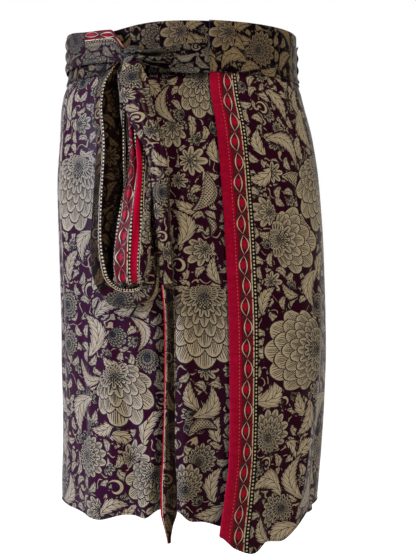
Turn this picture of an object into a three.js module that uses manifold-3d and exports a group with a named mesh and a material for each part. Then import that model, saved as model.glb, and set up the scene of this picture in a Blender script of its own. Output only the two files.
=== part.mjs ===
// A worn wrap skirt in thin printed silk: one long panel wrapped about one and a quarter times round the
// hips, a waistband of two plies, and two ties that close it with a drooping bow at the left of the front.
// Millimetres. +Z is up, -Y is the front and +X is the viewer's right. The origin is the centre of the waist,
// at the height of the waistband's top edge. Angles go round the waist in degrees from the front, 90 at +X.

import * as THREE from "three";
import { mergeVertices } from "three/addons/utils/BufferGeometryUtils.js";
import Module from "manifold-3d";

const wasm = await Module();
wasm.setup();

// Driving sizes
const CLOTH_WALL = 1.5; // one ply of silk with its folds' loft, as a wall
const BAND_WALL = 2.4; // the waistband's two plies
const SEAM_GAP = 0.3; // between sewn pieces
const BAND_HEIGHT = 66;
const FREE_EDGE_ANGLE = 13.5; // the outer panel's free front edge
const UNDERLAP_END_ANGLE = 466; // the hidden edge, one turn and 92 degrees further round
const UNDERLAP_DEPTH = 5.5; // how far inside the outer layer the hidden layer lies
const UNDERLAP_EASE = [285, 352]; // where the layer moves inwards before it passes under the outer one
const EDGE_BAND_ANGLE = 5.4; // the plain red strip along the free edge, 17 mm wide at the hips
const TIE_WALL = 1.4;
const BAND_PROUD = 0.9; // the middle of the waistband's wall outside the middle of the panel's
// The same for a tie round the band
const OVER_BAND = BAND_PROUD + BAND_WALL / 2 + TIE_WALL / 2 + 4 * SEAM_GAP;

// The worn outline that the form gives, a row for each height, read from the photo's silhouette
const OUTLINE = [
  { z: 12, midX: -10, halfWidth: 153, halfDepth: 105 },
  { z: -48, midX: -9.5, halfWidth: 153.5, halfDepth: 106.5 },
  { z: -85, midX: -10, halfWidth: 161.5, halfDepth: 112 },
  { z: -140, midX: -5, halfWidth: 171.5, halfDepth: 121 },
  { z: -207, midX: -2, halfWidth: 178, halfDepth: 127 },
  { z: -290, midX: 2, halfWidth: 179.5, halfDepth: 128 },
  { z: -425, midX: 5.5, halfWidth: 179.5, halfDepth: 126 },
  { z: -495, midX: 5.5, halfWidth: 177, halfDepth: 123 },
  { z: -550, midX: 4.5, halfWidth: 174.5, halfDepth: 121 },
  { z: -603, midX: 2, halfWidth: 172.5, halfDepth: 120 },
  { z: -690, midX: 0, halfWidth: 167, halfDepth: 118 },
];

// The hem's height round the wrap: the outer panel's corner droops at the front, right of the free edge
const HEM = [
  { angle: 0, z: -642 },
  { angle: 13.5, z: -650 },
  { angle: 21, z: -668 },
  { angle: 28, z: -675 },
  { angle: 36, z: -664 },
  { angle: 43, z: -665 },
  { angle: 52, z: -650 },
  { angle: 68, z: -634 },
  { angle: 90, z: -626 },
  { angle: 130, z: -630 },
  { angle: 180, z: -624 },
  { angle: 230, z: -630 },
  { angle: 270, z: -626 },
  { angle: 303, z: -632 },
  { angle: 317, z: -637 },
  { angle: 331, z: -629 },
  { angle: 341, z: -630 },
  { angle: 347, z: -620 },
  { angle: 355, z: -622 },
  { angle: 361, z: -634 },
  { angle: 369, z: -638 },
  { angle: 376, z: -642 },
  { angle: 470, z: -640 },
];

// The largest soft folds: where each starts and ends, its angle at both ends, its half width and its depth at
// the hem
const FOLDS = [
  { angleTop: -4, angleHem: -1, half: 4.5, zTop: -150, depth: 9 },
  { angleTop: 6, angleHem: 6.5, half: 5, zTop: -180, depth: -7 },
  { angleTop: -10, angleHem: -10, half: 5, zTop: -170, depth: -7 },
  { angleTop: -18, angleHem: -19, half: 6, zTop: -300, depth: 7 },
  { angleTop: -30, angleHem: -27, half: 6, zTop: -380, depth: -5 },
  { angleTop: -45, angleHem: -43, half: 9, zTop: -330, depth: 6 },
  { angleTop: -66, angleHem: -62, half: 8, zTop: -250, depth: -4 },
  { angleTop: 30, angleHem: 29, half: 7, zTop: -430, depth: 9 },
  { angleTop: 42, angleHem: 38, half: 5, zTop: -470, depth: -5 },
  { angleTop: 52, angleHem: 50, half: 8, zTop: -380, depth: 6 },
  { angleTop: 78, angleHem: 73, half: 9, zTop: -280, depth: -5 },
  { angleTop: 112, angleHem: 108, half: 9, zTop: -220, depth: 7 },
  { angleTop: 133, angleHem: 130, half: 8, zTop: -330, depth: -6 },
  { angleTop: 152, angleHem: 153, half: 9, zTop: -240, depth: 8 },
  { angleTop: 178, angleHem: 176, half: 8, zTop: -300, depth: -7 },
  { angleTop: -160, angleHem: -163, half: 9, zTop: -200, depth: 8 },
  { angleTop: -136, angleHem: -133, half: 8, zTop: -360, depth: -6 },
  { angleTop: -112, angleHem: -114, half: 9, zTop: -260, depth: 7 },
  { angleTop: -88, angleHem: -90, half: 9, zTop: -420, depth: 3 },
];

// The free edge stands off the layer below it more and more towards the hem, and turns the border strip
// sideways
const EDGE_LIFT = { zTop: -380, depth: 17, half: 7.5 };

// The bow's knot: its middle in x, out from the skirt and in height, and half its size each way
const KNOT = { x: -66, out: 19, z: -50, halfWidth: 14, halfOut: 10, halfHeight: 14 };

// The tie that comes round from the slit at the right side: height of its upper and lower edge
const TIE_AROUND = [
  { angle: 97, top: -8, bottom: -58 },
  { angle: 150, top: -4, bottom: -56 },
  { angle: 200, top: -5, bottom: -55 },
  { angle: 250, top: -2, bottom: -52 },
  { angle: 285, top: -2, bottom: -50 },
  { angle: 310, top: -8, bottom: -50 },
  { angle: 325, top: -10, bottom: -52 },
  { angle: 334, top: -34, bottom: -57 },
  { angle: 340, top: -42, bottom: -60 },
];

// The tie that runs on from the outer panel's end of the band to the knot
const TIE_OVER = [
  { angle: 13.2, top: -31, bottom: -70 },
  { angle: 4, top: -32, bottom: -71 },
  { angle: -4, top: -36, bottom: -69 },
  { angle: -12, top: -42, bottom: -64 },
  { angle: -19, top: -44, bottom: -58 },
];

// The outer loop is folded lengthwise: the share of its width that is turned back, how far that flap leans
// out over the rest, the roundness of its fold as a share of the width, and the flap's length
const FLAP = { share: 0.3, lean: 1.75, round: 0.05, length: 17 };

// Each hanging strip of the bow, from the knot on: x, distance out from the skirt, height, width as it hangs,
// the turn of its width from +X towards the skirt in degrees, and the height of its lengthwise pleats
const LOOP_OUTER = [
  { x: -84, out: 18, z: -55, width: 12, turn: -40, pleat: 1 },
  { x: -97, out: 19, z: -72, width: 28, turn: -34, pleat: 2 },
  { x: -102, out: 21, z: -110, width: 42, turn: -28, pleat: 3 },
  { x: -98, out: 22, z: -165, width: 45, turn: -27, pleat: 4 },
  { x: -101, out: 23, z: -235, width: 47, turn: -30, pleat: 4.5 },
  { x: -104, out: 24, z: -300, width: 46, turn: -46, pleat: 4 },
  { x: -99, out: 25, z: -340, width: 42, turn: -72, pleat: 3.5 },
  { x: -80, out: 25, z: -361, width: 27, turn: -90, pleat: 3 },
  { x: -48, out: 24, z: -358, width: 27, turn: -100, pleat: 3 },
  { x: -36, out: 18, z: -325, width: 24, turn: -108, pleat: 3 },
  { x: -42, out: 14, z: -245, width: 15, turn: -112, pleat: 2.5 },
  { x: -50, out: 13, z: -170, width: 12, turn: -120, pleat: 2 },
  { x: -56, out: 13, z: -105, width: 10, turn: -140, pleat: 1.5 },
  { x: -60, out: 14.5, z: -60, width: 7, turn: -160, pleat: 1 },
];
const LOOP_INNER = [
  { x: -68, out: 22, z: -60, width: 10, turn: 0, pleat: 1 },
  { x: -66, out: 24, z: -85, width: 14, turn: 0, pleat: 2 },
  { x: -59, out: 28, z: -130, width: 19, turn: 0, pleat: 2 },
  { x: -55, out: 31, z: -185, width: 26, turn: 2, pleat: 3 },
  { x: -57, out: 37, z: -240, width: 34, turn: 3, pleat: 3 },
  { x: -60, out: 40, z: -295, width: 40, turn: 2, pleat: 3 },
  { x: -61, out: 38, z: -325, width: 38, turn: 0, pleat: 2 },
  { x: -62, out: 30, z: -336, width: 35, turn: 0, pleat: 1.5 },
  { x: -62, out: 22, z: -326, width: 28, turn: 0, pleat: 2 },
  { x: -63, out: 18, z: -285, width: 21, turn: 0, pleat: 2.5 },
  { x: -65, out: 18, z: -210, width: 16, turn: 0, pleat: 2.5 },
  { x: -69, out: 17, z: -130, width: 12, turn: 0, pleat: 2 },
  { x: -68, out: 17, z: -62, width: 9, turn: 0, pleat: 1 },
];
const TAIL_LONG = [
  { x: -65, out: 27, z: -60, width: 16, turn: 8, pleat: 1.5 },
  { x: -60, out: 35, z: -88, width: 24, turn: 8, pleat: 2 },
  { x: -51, out: 38.5, z: -125, width: 24, turn: 10, pleat: 2.5 },
  { x: -33, out: 36.5, z: -180, width: 18, turn: 10, pleat: 2.5 },
  { x: -28, out: 32, z: -245, width: 14, turn: 6, pleat: 2.5 },
  { x: -24, out: 22, z: -320, width: 12, turn: 4, pleat: 2 },
  { x: -21, out: 16, z: -380, width: 12, turn: 0, pleat: 2 },
  { x: -21, out: 16, z: -460, width: 12, turn: 0, pleat: 2 },
  { x: -22, out: 18, z: -540, width: 13, turn: 0, pleat: 2 },
  { x: -23, out: 19, z: -590, width: 17, turn: 0, pleat: 2 },
  { x: -24, out: 19, z: -622, width: 16, turn: 0, pleat: 1.5 },
  { x: -23, out: 19, z: -640, width: 9, turn: 0, pleat: 1 },
  { x: -21, out: 19, z: -655, width: 3.5, turn: 0, pleat: 0.4 },
];
const TAIL_SHORT = [
  { x: -71, out: 13.5, z: -60, width: 7, turn: 0, pleat: 0.8 },
  { x: -72, out: 10, z: -85, width: 9, turn: 0, pleat: 1.2 },
  { x: -74, out: 7, z: -120, width: 13, turn: -3, pleat: 1.5 },
  { x: -75, out: 6.5, z: -170, width: 16, turn: -3, pleat: 1.8 },
  { x: -76, out: 6.5, z: -235, width: 18, turn: -3, pleat: 1.8 },
  { x: -74, out: 7, z: -275, width: 10, turn: -3, pleat: 1 },
];

const COLOURS = { print: "#7d6d5a", ground: "#4a1a33", border: "#a3122f" };

const radians = THREE.MathUtils.degToRad;
const smooth = (x, from, to) => THREE.MathUtils.smoothstep(x, Math.min(from, to), Math.max(from, to));

// A column of a table at x, as a smooth curve through its rows (monotone cubic, so that nothing overshoots)
function along(table, key, column, x) {
  const rows = table[0][key] < table[table.length - 1][key] ? table : [...table].reverse();
  const at = (i) => rows[Math.min(Math.max(i, 0), rows.length - 1)];
  const slope = (i) => {
    if (i <= 0 || i >= rows.length - 1) return 0;
    const before = (at(i)[column] - at(i - 1)[column]) / (at(i)[key] - at(i - 1)[key]);
    const after = (at(i + 1)[column] - at(i)[column]) / (at(i + 1)[key] - at(i)[key]);
    return before * after <= 0 ? 0 : (2 * before * after) / (before + after);
  };
  let i = 0;
  while (i < rows.length - 2 && x > rows[i + 1][key]) i++;
  const step = at(i + 1)[key] - at(i)[key];
  const t = THREE.MathUtils.clamp((x - at(i)[key]) / step, 0, 1);
  const [t2, t3] = [t * t, t * t * t];
  return (
    (2 * t3 - 3 * t2 + 1) * at(i)[column] +
    (t3 - 2 * t2 + t) * step * slope(i) +
    (3 * t2 - 2 * t3) * at(i + 1)[column] +
    (t3 - t2) * step * slope(i + 1)
  );
}

// The shortest way round from one angle to another, in degrees
const turnBetween = (angle, other) => ((((angle - other + 180) % 360) + 360) % 360) - 180;

// How far the soft folds move the cloth outwards
function foldOut(angle, z) {
  return FOLDS.reduce((sum, fold) => {
    const share = smooth(-z, -fold.zTop, 640);
    const middle = THREE.MathUtils.lerp(fold.angleTop, fold.angleHem, share);
    const across = turnBetween(angle, middle) / fold.half;
    return sum + fold.depth * share * Math.exp(-across * across);
  }, 0);
}

// A point on the worn outline at an angle and height, moved out along the outline's normal in plan
function onOutline(angle, z, out) {
  const midX = along(OUTLINE, "z", "midX", z);
  const halfWidth = along(OUTLINE, "z", "halfWidth", z);
  const halfDepth = along(OUTLINE, "z", "halfDepth", z);
  const [across, front] = [Math.sin(radians(angle)), -Math.cos(radians(angle))];
  const normal = new THREE.Vector2(halfDepth * across, halfWidth * front).normalize();
  return new THREE.Vector3(midX + halfWidth * across + normal.x * out, halfDepth * front + normal.y * out, z);
}

// The same with the front's x in place of the angle
function onFront(x, out, z) {
  const midX = along(OUTLINE, "z", "midX", z);
  const halfWidth = along(OUTLINE, "z", "halfWidth", z);
  return onOutline(THREE.MathUtils.radToDeg(Math.asin((x - midX) / halfWidth)), z, out);
}

// How far in a layer lies: the outer layer is on the outline, and the end that passes under it lies inside
const layerOut = (angle) => -UNDERLAP_DEPTH * smooth(angle, ...UNDERLAP_EASE);

// How far the free edge is lifted off the layer below
function edgeOut(angle, z) {
  const past = (angle - FREE_EDGE_ANGLE) / EDGE_LIFT.half;
  return past > 4 ? 0 : EDGE_LIFT.depth * smooth(-z, -EDGE_LIFT.zTop, 640) * Math.exp(-past * past);
}

// The middle of the wrapped panel's cloth
const panelPoint = (angle, z, out = 0) =>
  onOutline(angle, z, layerOut(angle) + foldOut(angle, z) + edgeOut(angle, z) + out);

// Evenly spaced numbers, both ends included
const steps = (from, to, count) => Array.from({ length: count + 1 }, (_, i) => from + ((to - from) * i) / count);

// A closed wall round its middle surface, which is a function of two numbers, with its four edges joined. A
// wall that lies on another takes the other's middle surface and is lifted off it along the normals.
function clothWall(across, down, wall, middle, lift = 0) {
  const [columns, rows] = [across.length - 1, down.length - 1];
  const points = across.map((u) => down.map((v) => middle(u, v)));
  const at = (i, j) => points[THREE.MathUtils.clamp(i, 0, columns)][THREE.MathUtils.clamp(j, 0, rows)];
  const vertices = [];
  for (const face of [lift + wall / 2, lift - wall / 2])
    for (let i = 0; i <= columns; i++)
      for (let j = 0; j <= rows; j++) {
        const alongU = at(i + 1, j).clone().sub(at(i - 1, j));
        const alongV = at(i, j + 1).clone().sub(at(i, j - 1));
        const normal = alongV.cross(alongU).normalize();
        vertices.push(...at(i, j).clone().addScaledVector(normal, face));
      }
  const vertex = (side, i, j) => side * (columns + 1) * (rows + 1) + i * (rows + 1) + j;
  const faces = [];
  const quad = (a, b, c, d) => faces.push(a, b, c, a, c, d);
  for (let i = 0; i < columns; i++)
    for (let j = 0; j < rows; j++) {
      quad(vertex(0, i, j), vertex(0, i + 1, j), vertex(0, i + 1, j + 1), vertex(0, i, j + 1));
      quad(vertex(1, i, j), vertex(1, i, j + 1), vertex(1, i + 1, j + 1), vertex(1, i + 1, j));
    }
  for (let i = 0; i < columns; i++) {
    quad(vertex(1, i, 0), vertex(1, i + 1, 0), vertex(0, i + 1, 0), vertex(0, i, 0));
    quad(vertex(0, i, rows), vertex(0, i + 1, rows), vertex(1, i + 1, rows), vertex(1, i, rows));
  }
  for (let j = 0; j < rows; j++) {
    quad(vertex(0, 0, j), vertex(0, 0, j + 1), vertex(1, 0, j + 1), vertex(1, 0, j));
    quad(vertex(1, columns, j), vertex(1, columns, j + 1), vertex(0, columns, j + 1), vertex(0, columns, j));
  }
  const geometry = new THREE.BufferGeometry();
  geometry.setAttribute("position", new THREE.Float32BufferAttribute(vertices, 3));
  geometry.setIndex(faces);
  return facingOut(geometry);
}

// Turns every face round if the closed surface is inside out
function facingOut(geometry) {
  const [position, index] = [geometry.getAttribute("position"), geometry.index];
  const corner = [0, 1, 2].map(() => new THREE.Vector3());
  let volume = 0;
  for (let i = 0; i < index.count; i += 3) {
    corner.forEach((c, k) => c.fromBufferAttribute(position, index.getX(i + k)));
    volume += corner[0].dot(corner[1].clone().cross(corner[2]));
  }
  if (volume < 0)
    for (let i = 0; i < index.count; i += 3) {
      const first = index.getX(i);
      index.setX(i, index.getX(i + 1));
      index.setX(i + 1, first);
    }
  return geometry;
}

function asSolid(geometry) {
  const merged = mergeVertices(
    new THREE.BufferGeometry().setAttribute("position", geometry.getAttribute("position")).setIndex(geometry.index),
    1e-3,
  );
  return new wasm.Manifold(
    new wasm.Mesh({
      numProp: 3,
      vertProperties: new Float32Array(merged.attributes.position.array),
      triVerts: new Uint32Array(merged.index.array),
    }),
  );
}

function asGeometry(solid) {
  const mesh = solid.getMesh();
  const geometry = new THREE.BufferGeometry();
  geometry.setAttribute("position", new THREE.Float32BufferAttribute(mesh.vertProperties, 3));
  geometry.setIndex(new THREE.BufferAttribute(mesh.triVerts, 1));
  return geometry;
}

// The angles of the wrap's columns: closer together where its folds are narrow
const WRAP_ANGLES = [
  ...steps(FREE_EDGE_ANGLE, FREE_EDGE_ANGLE + EDGE_BAND_ANGLE, 3),
  ...steps(FREE_EDGE_ANGLE + EDGE_BAND_ANGLE, 60, 13).slice(1),
  ...steps(60, 320, 58).slice(1),
  ...steps(320, 376, 22).slice(1),
  ...steps(376, UNDERLAP_END_ANGLE, 16).slice(1),
];
const WRAP_ROWS = steps(0, 1, 14);

// The middle of the wrapped panel's cloth, from the waistband's seam at 0 to the hem at 1
function wrapPoint(angle, down) {
  const top = -BAND_HEIGHT - 2 * SEAM_GAP;
  return panelPoint(angle, THREE.MathUtils.lerp(top, along(HEM, "angle", "z", angle), down));
}

// The wrapped panel: from the free edge once round, then on under the outer layer to the hidden edge
const wrapPanel = () => clothWall(WRAP_ANGLES, WRAP_ROWS, CLOTH_WALL, wrapPoint);

// The plain red strip, folded over the free edge and lying on the panel
function edgeBand() {
  const angles = WRAP_ANGLES.filter((angle) => angle < FREE_EDGE_ANGLE + EDGE_BAND_ANGLE + 0.01);
  const wall = 0.8 * CLOTH_WALL;
  return clothWall(angles, WRAP_ROWS, wall, wrapPoint, CLOTH_WALL / 2 + SEAM_GAP + wall / 2);
}

// The waistband goes round with the panel and lies a little proud of it
function waistband() {
  const angles = steps(FREE_EDGE_ANGLE, UNDERLAP_END_ANGLE, 88);
  return clothWall(angles, steps(0, -BAND_HEIGHT, 3), BAND_WALL, (angle, z) =>
    onOutline(angle, z, layerOut(angle) + BAND_PROUD),
  );
}

// A tie that lies round the waistband
function tieOnBand(table, columns, rows, out) {
  const angles = steps(table[0].angle, table[table.length - 1].angle, columns);
  return clothWall(angles, steps(0, 1, rows), TIE_WALL, (angle, down) => {
    const [top, bottom] = ["top", "bottom"].map((edge) => along(table, "angle", edge, angle));
    return onOutline(angle, THREE.MathUtils.lerp(top, bottom, down), out(angle, down));
  });
}

// A tie's soft lengthwise creases, and how it comes out to the knot over its last stretch
const creaseOut = (down) => 1.1 * (1 - Math.cos(4 * Math.PI * down));
const tieAround = () =>
  tieOnBand(TIE_AROUND, 56, 6, (angle, down) => OVER_BAND + creaseOut(down) + 10 * smooth(angle, 322, 340));
const tieOver = () =>
  tieOnBand(TIE_OVER, 12, 4, (angle, down) => OVER_BAND + creaseOut(down) + 10 * smooth(-angle, -2, 19));

// A strip that hangs from the knot, with pleats along it, and its first third turned back by the flap's
// length
function hangingStrip(table, columns, rows, pleats, flap = 0) {
  const middle = new THREE.CatmullRomCurve3(
    table.map((row) => new THREE.Vector3(row.x, row.out, row.z)),
    false,
    "centripetal",
  );
  const last = table.length - 1;
  const numbered = table.map((row, number) => ({ ...row, number }));
  return clothWall(steps(0, 1, columns), steps(0, 1, rows), TIE_WALL, (u, v) => {
    const number = u * last;
    const centre = middle.getPoint(u);
    const tangent = middle.getTangent(u);
    const turn = radians(along(numbered, "number", "turn", number));
    const width = new THREE.Vector3(Math.cos(turn), Math.sin(turn), 0);
    width.addScaledVector(tangent, -width.dot(tangent)).normalize();
    const raise = new THREE.Vector3().crossVectors(tangent, width);
    const wide = along(numbered, "number", "width", number);
    const past = FLAP.share - v;
    const turned = flap && (past + Math.hypot(past, FLAP.round)) / (2 * FLAP.share);
    const across = wide * (v - 0.5 + FLAP.lean * FLAP.share * turned);
    const pleat = along(numbered, "number", "pleat", number) * Math.cos(2 * Math.PI * pleats * (v - 0.5)) * -1;
    const lift = pleat - flap * smooth(wide, 12, 30) * turned;
    centre.addScaledVector(width, across).addScaledVector(raise, lift);
    return onFront(centre.x, centre.y, centre.z);
  });
}

// The knot: a rounded lump of cloth with the creases of its wraps
function knotLump(grow = 0) {
  const lump = new THREE.SphereGeometry(1, 20, 14);
  lump.deleteAttribute("normal");
  lump.deleteAttribute("uv");
  const merged = mergeVertices(lump, 1e-4);
  const position = merged.getAttribute("position");
  for (let i = 0; i < position.count; i++) {
    const unit = new THREE.Vector3().fromBufferAttribute(position, i);
    const crease = 1 + 0.06 * Math.cos(5 * unit.z + 3 * unit.x);
    const placed = onFront(
      KNOT.x + unit.x * (KNOT.halfWidth * crease + grow),
      KNOT.out + unit.y * (KNOT.halfOut * crease + grow),
      KNOT.z + unit.z * (KNOT.halfHeight * crease + grow),
    );
    position.setXYZ(i, ...placed);
  }
  return facingOut(merged);
}

const knotRoom = asSolid(knotLump(SEAM_GAP));

// A strip ends at the knot's surface: what would pass into or beyond it is cut away
function upToKnot(geometry) {
  const bodies = asSolid(geometry).subtract(knotRoom).decompose();
  return asGeometry(bodies.reduce((largest, body) => (body.volume() > largest.volume() ? body : largest)));
}

const skirt = new THREE.Group();

function addPiece(name, geometry, colour) {
  const cloth = new THREE.MeshStandardMaterial({ color: colour, roughness: 0.7, metalness: 0 });
  cloth.side = THREE.DoubleSide;
  const piece = new THREE.Mesh(geometry, cloth);
  piece.name = name;
  skirt.add(piece);
}

addPiece("wrap_panel", wrapPanel(), COLOURS.print);
addPiece("edge_band", edgeBand(), COLOURS.border);
addPiece("waistband", waistband(), COLOURS.ground);
addPiece("tie_around", upToKnot(tieAround()), COLOURS.print);
addPiece("tie_over", upToKnot(tieOver()), COLOURS.print);
addPiece("bow_knot", knotLump(), COLOURS.ground);
addPiece("bow_loop_outer", upToKnot(hangingStrip(LOOP_OUTER, 42, 10, 0.5, FLAP.length)), COLOURS.print);
addPiece("bow_loop_inner", upToKnot(hangingStrip(LOOP_INNER, 38, 8, 1)), COLOURS.border);
addPiece("tail_long", upToKnot(hangingStrip(TAIL_LONG, 40, 6, 1)), COLOURS.print);
addPiece("tail_short", upToKnot(hangingStrip(TAIL_SHORT, 12, 4, 1)), COLOURS.print);

export default skirt;
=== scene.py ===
import math

import bpy
import numpy as np
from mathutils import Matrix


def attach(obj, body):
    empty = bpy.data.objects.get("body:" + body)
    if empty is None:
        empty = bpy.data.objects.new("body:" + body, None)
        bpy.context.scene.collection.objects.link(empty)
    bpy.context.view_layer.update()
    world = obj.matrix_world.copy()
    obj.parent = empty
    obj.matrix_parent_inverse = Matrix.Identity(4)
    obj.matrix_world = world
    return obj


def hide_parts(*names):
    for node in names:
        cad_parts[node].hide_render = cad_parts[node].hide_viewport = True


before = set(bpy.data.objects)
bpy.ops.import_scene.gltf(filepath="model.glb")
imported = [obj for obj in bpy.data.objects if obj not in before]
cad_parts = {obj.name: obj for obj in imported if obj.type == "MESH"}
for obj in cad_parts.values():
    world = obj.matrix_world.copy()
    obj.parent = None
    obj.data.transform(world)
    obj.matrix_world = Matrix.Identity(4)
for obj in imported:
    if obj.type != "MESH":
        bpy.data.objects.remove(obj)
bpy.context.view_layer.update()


# The room: a plain pale floor well below the hem and a white backdrop, as in a product photo. A warm light
# stands high at the front right, a cool one at the left and a weak one above. The camera stands 1.5 m in
# front of the skirt, at the middle of its length.

PHOTO_WIDTH, PHOTO_HEIGHT = 416, 555
LENS_PIXELS = 1100.0
EYE = (0.0245, -1.5, -0.352)
HORIZON_PIXEL = 296.0
SENSOR = 36.0
FLOOR_LEVEL, FLOOR_HALF = -1.02, 30
# How far behind the skirt the floor starts to glow, and where it glows fully, in metres
FLOOR_GLOW = (0.3, 1.25)
# The backdrop as a direction from the eye: the heights between which it ends, and how far back its sides end
BACKDROP_TOP, BACKDROP_SIDE = (0.26, 0.42), (0.55, 0.85)
ROOM_GREY = 0.08
LIGHTS_AIM = (0, 0, -0.33)
LIGHTS = {
    "key_right": {"place": (0.9, -2.1, 0.6), "size": 0.45, "watts": 32, "colour": "#ffe9cc"},
    "cool_left": {"place": (-1.8, -0.8, 0.2), "size": 0.45, "watts": 47, "colour": "#e2e4ff"},
    "top": {"place": (0.0, -0.5, 1.3), "size": 1.2, "watts": 8, "colour": "#ffffff"},
}


def linear(code, alpha=1.0):
    """An sRGB hex colour as linear values: below 0.04045 v / 12.92, and above it ((v + 0.055) / 1.055) to the
    power 2.4."""
    parts = [int(code[i:i + 2], 16) / 255 for i in (1, 3, 5)]
    return tuple(v / 12.92 if v <= 0.04045 else ((v + 0.055) / 1.055) ** 2.4 for v in parts) + (alpha,)


def add(tree, kind, *inputs, named=None, **settings):
    """Adds a node to a tree and returns its output, or a list where it has more. kind is its type, with the
    operation of its arithmetic or the data type of its mix after a dot, or in capitals the operation of a
    Math node. inputs are its sockets in order and named is for sockets by name: links or values. settings are
    its properties."""
    name, _, operation = ("Math." + kind if kind.isupper() else kind).partition(".")
    node = tree.nodes.new("ShaderNode" + name)
    if operation:
        setattr(node, "data_type" if name == "Mix" else "operation", operation)
    for key, value in settings.items():
        setattr(node, key, value)
    sockets = [socket for socket in node.inputs if socket.enabled]
    given = list(zip(sockets, inputs)) + [(node.inputs[key], value) for key, value in (named or {}).items()]
    for socket, value in given:
        if isinstance(value, bpy.types.NodeSocket):
            tree.links.new(value, socket)
        else:
            socket.default_value = value
    results = [socket for socket in node.outputs if socket.enabled]
    return results[0] if len(results) == 1 else results


def new_material(name):
    """An empty node material, with its tree."""
    material = bpy.data.materials.new(name)
    material.use_nodes = True
    material.node_tree.nodes.clear()
    return material, material.node_tree


camera = bpy.data.objects.new("camera", bpy.data.cameras.new("camera"))
camera.data.sensor_width = SENSOR
camera.data.lens = SENSOR * LENS_PIXELS / PHOTO_HEIGHT
camera.location = EYE
pitch = math.atan((HORIZON_PIXEL - PHOTO_HEIGHT / 2) / LENS_PIXELS)
camera.rotation_euler = (math.pi / 2 + pitch, 0, 0)
bpy.context.scene.collection.objects.link(camera)
bpy.context.scene.camera = camera

corners = [(x * FLOOR_HALF, y * FLOOR_HALF, FLOOR_LEVEL) for x, y in ((-1, -1), (1, -1), (1, 1), (-1, 1))]
floor_mesh = bpy.data.meshes.new("floor")
floor_mesh.from_pydata(corners, [], [(0, 1, 2, 3)])
floor = bpy.data.objects.new("floor", floor_mesh)
bpy.context.scene.collection.objects.link(floor)
# Matt white paper, glowing more and more behind the skirt, so that it meets the backdrop without a line
floor_paint, tree = new_material("matt_white_studio_paper")
_, behind, _ = add(tree, "SeparateXYZ", add(tree, "TexCoord")[3])
add(tree, "OutputMaterial", add(tree, "BsdfPrincipled", named={
    "Base Color": linear("#f4f3f1"),
    "Roughness": 0.9,
    "Emission Color": linear("#fbfbfc"),
    "Emission Strength": add(tree, "MapRange", behind, *FLOOR_GLOW, 0.0, 1.0),
}))
floor_mesh.materials.append(floor_paint)

# The backdrop: white behind the skirt up to above the eye, and grey in front and overhead, so that the cloth
# keeps its shadows
world = bpy.data.worlds.new("white_backdrop")
world.use_nodes = True
tree = world.node_tree
_, behind, height = add(tree, "SeparateXYZ", add(tree, "TexCoord")[0])
below_top = add(tree, "MapRange", height, *BACKDROP_TOP, 1.0, 0.0)
at_back = add(tree, "MapRange", behind, *BACKDROP_SIDE, 0.0, 1.0)
lit = add(tree, "MULTIPLY", below_top, at_back)
tree.nodes["Background"].inputs[0].default_value = linear("#ffffff")
tree.links.new(add(tree, "MapRange", lit, 0.0, 1.0, ROOM_GREY, 1.0), tree.nodes["Background"].inputs[1])
bpy.context.scene.world = world
bpy.context.scene.view_settings.view_transform = "Standard"

for name, row in LIGHTS.items():
    light = bpy.data.objects.new(name, bpy.data.lights.new(name, "AREA"))
    light.data.size = row["size"]
    light.data.energy = row["watts"]
    light.data.color = linear(row["colour"])[:3]
    light.location = row["place"]
    light.visible_glossy = name == "cool_left"
    aim = np.array(LIGHTS_AIM) - np.array(row["place"])
    tilt = math.atan2(math.hypot(aim[0], aim[1]), -aim[2])
    light.rotation_euler = (tilt, 0, math.atan2(aim[0], -aim[1]) + math.pi)
    bpy.context.scene.collection.objects.link(light)


# The wrapped panel: one length of thin printed silk, 1.24 m round and 0.61 m long, sewn into the waistband
# with light gathers, wrapped once round the hips and on under its own outer layer. Its printed border runs
# down the free front edge. It hangs from the band and rests on nothing else.

MILLIMETRE = 0.001
CLOTH_WALL = 0.6
BAND_HEIGHT, SEAM_GAP = 66.0, 0.3
FREE_EDGE_ANGLE, UNDERLAP_END_ANGLE = 13.5, 466.0
UNDERLAP_DEPTH = 5.5
UNDERLAP_EASE = (285.0, 352.0)
HIP_LEVEL = -290.0
ARC_STEPS = 4000
# Millimetres round the hips in one degree
MM_PER_DEGREE = 2.75
PANEL_COLUMNS, PANEL_ROWS = 308, 150

OUTLINE = {
    "z": (12, -48, -85, -140, -207, -290, -425, -495, -550, -603, -690),
    "mid_x": (-10, -9.5, -10, -5, -2, 2, 5.5, 5.5, 4.5, 2, 0),
    "half_width": (153, 153.5, 161.5, 171.5, 178, 179.5, 179.5, 177, 174.5, 172.5, 167),
    "half_depth": (105, 106.5, 112, 121, 127, 128, 126, 123, 121, 120, 118),
}
HEM = {
    "angle": (0, 13.5, 21, 28, 36, 43, 52, 68, 90, 130, 180, 230, 270, 303, 317, 331, 341, 347, 355, 361, 369,
              376, 470),
    "z": (-642, -650, -668, -675, -664, -665, -650, -634, -626, -630, -624, -630, -626, -632, -637, -629,
          -630, -620, -622, -634, -638, -642, -640),
}
# The long soft folds: angle where it starts, angle at the hem, half width in degrees, height of its start,
# and how far it stands out at the hem in millimetres
FOLDS = (
    (-4, -1, 4.0, -150, 10), (6, 6.5, 4.5, -180, -9), (-10, -10, 4.5, -170, -8), (-18, -19, 5.5, -300, 8),
    (-30, -27, 6, -380, -5), (-45, -43, 9, -330, 6), (-66, -62, 8, -250, -4), (30, 29, 7, -430, 9),
    (42, 38, 5, -470, -5), (52, 50, 8, -380, 6), (78, 73, 9, -280, -5), (112, 108, 9, -220, 7),
    (133, 130, 8, -330, -6), (152, 153, 9, -240, 8), (178, 176, 8, -300, -7), (-160, -163, 9, -200, 8),
    (-136, -133, 8, -360, -6), (-112, -114, 9, -260, 7), (-88, -90, 9, -420, 3),
)
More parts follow.
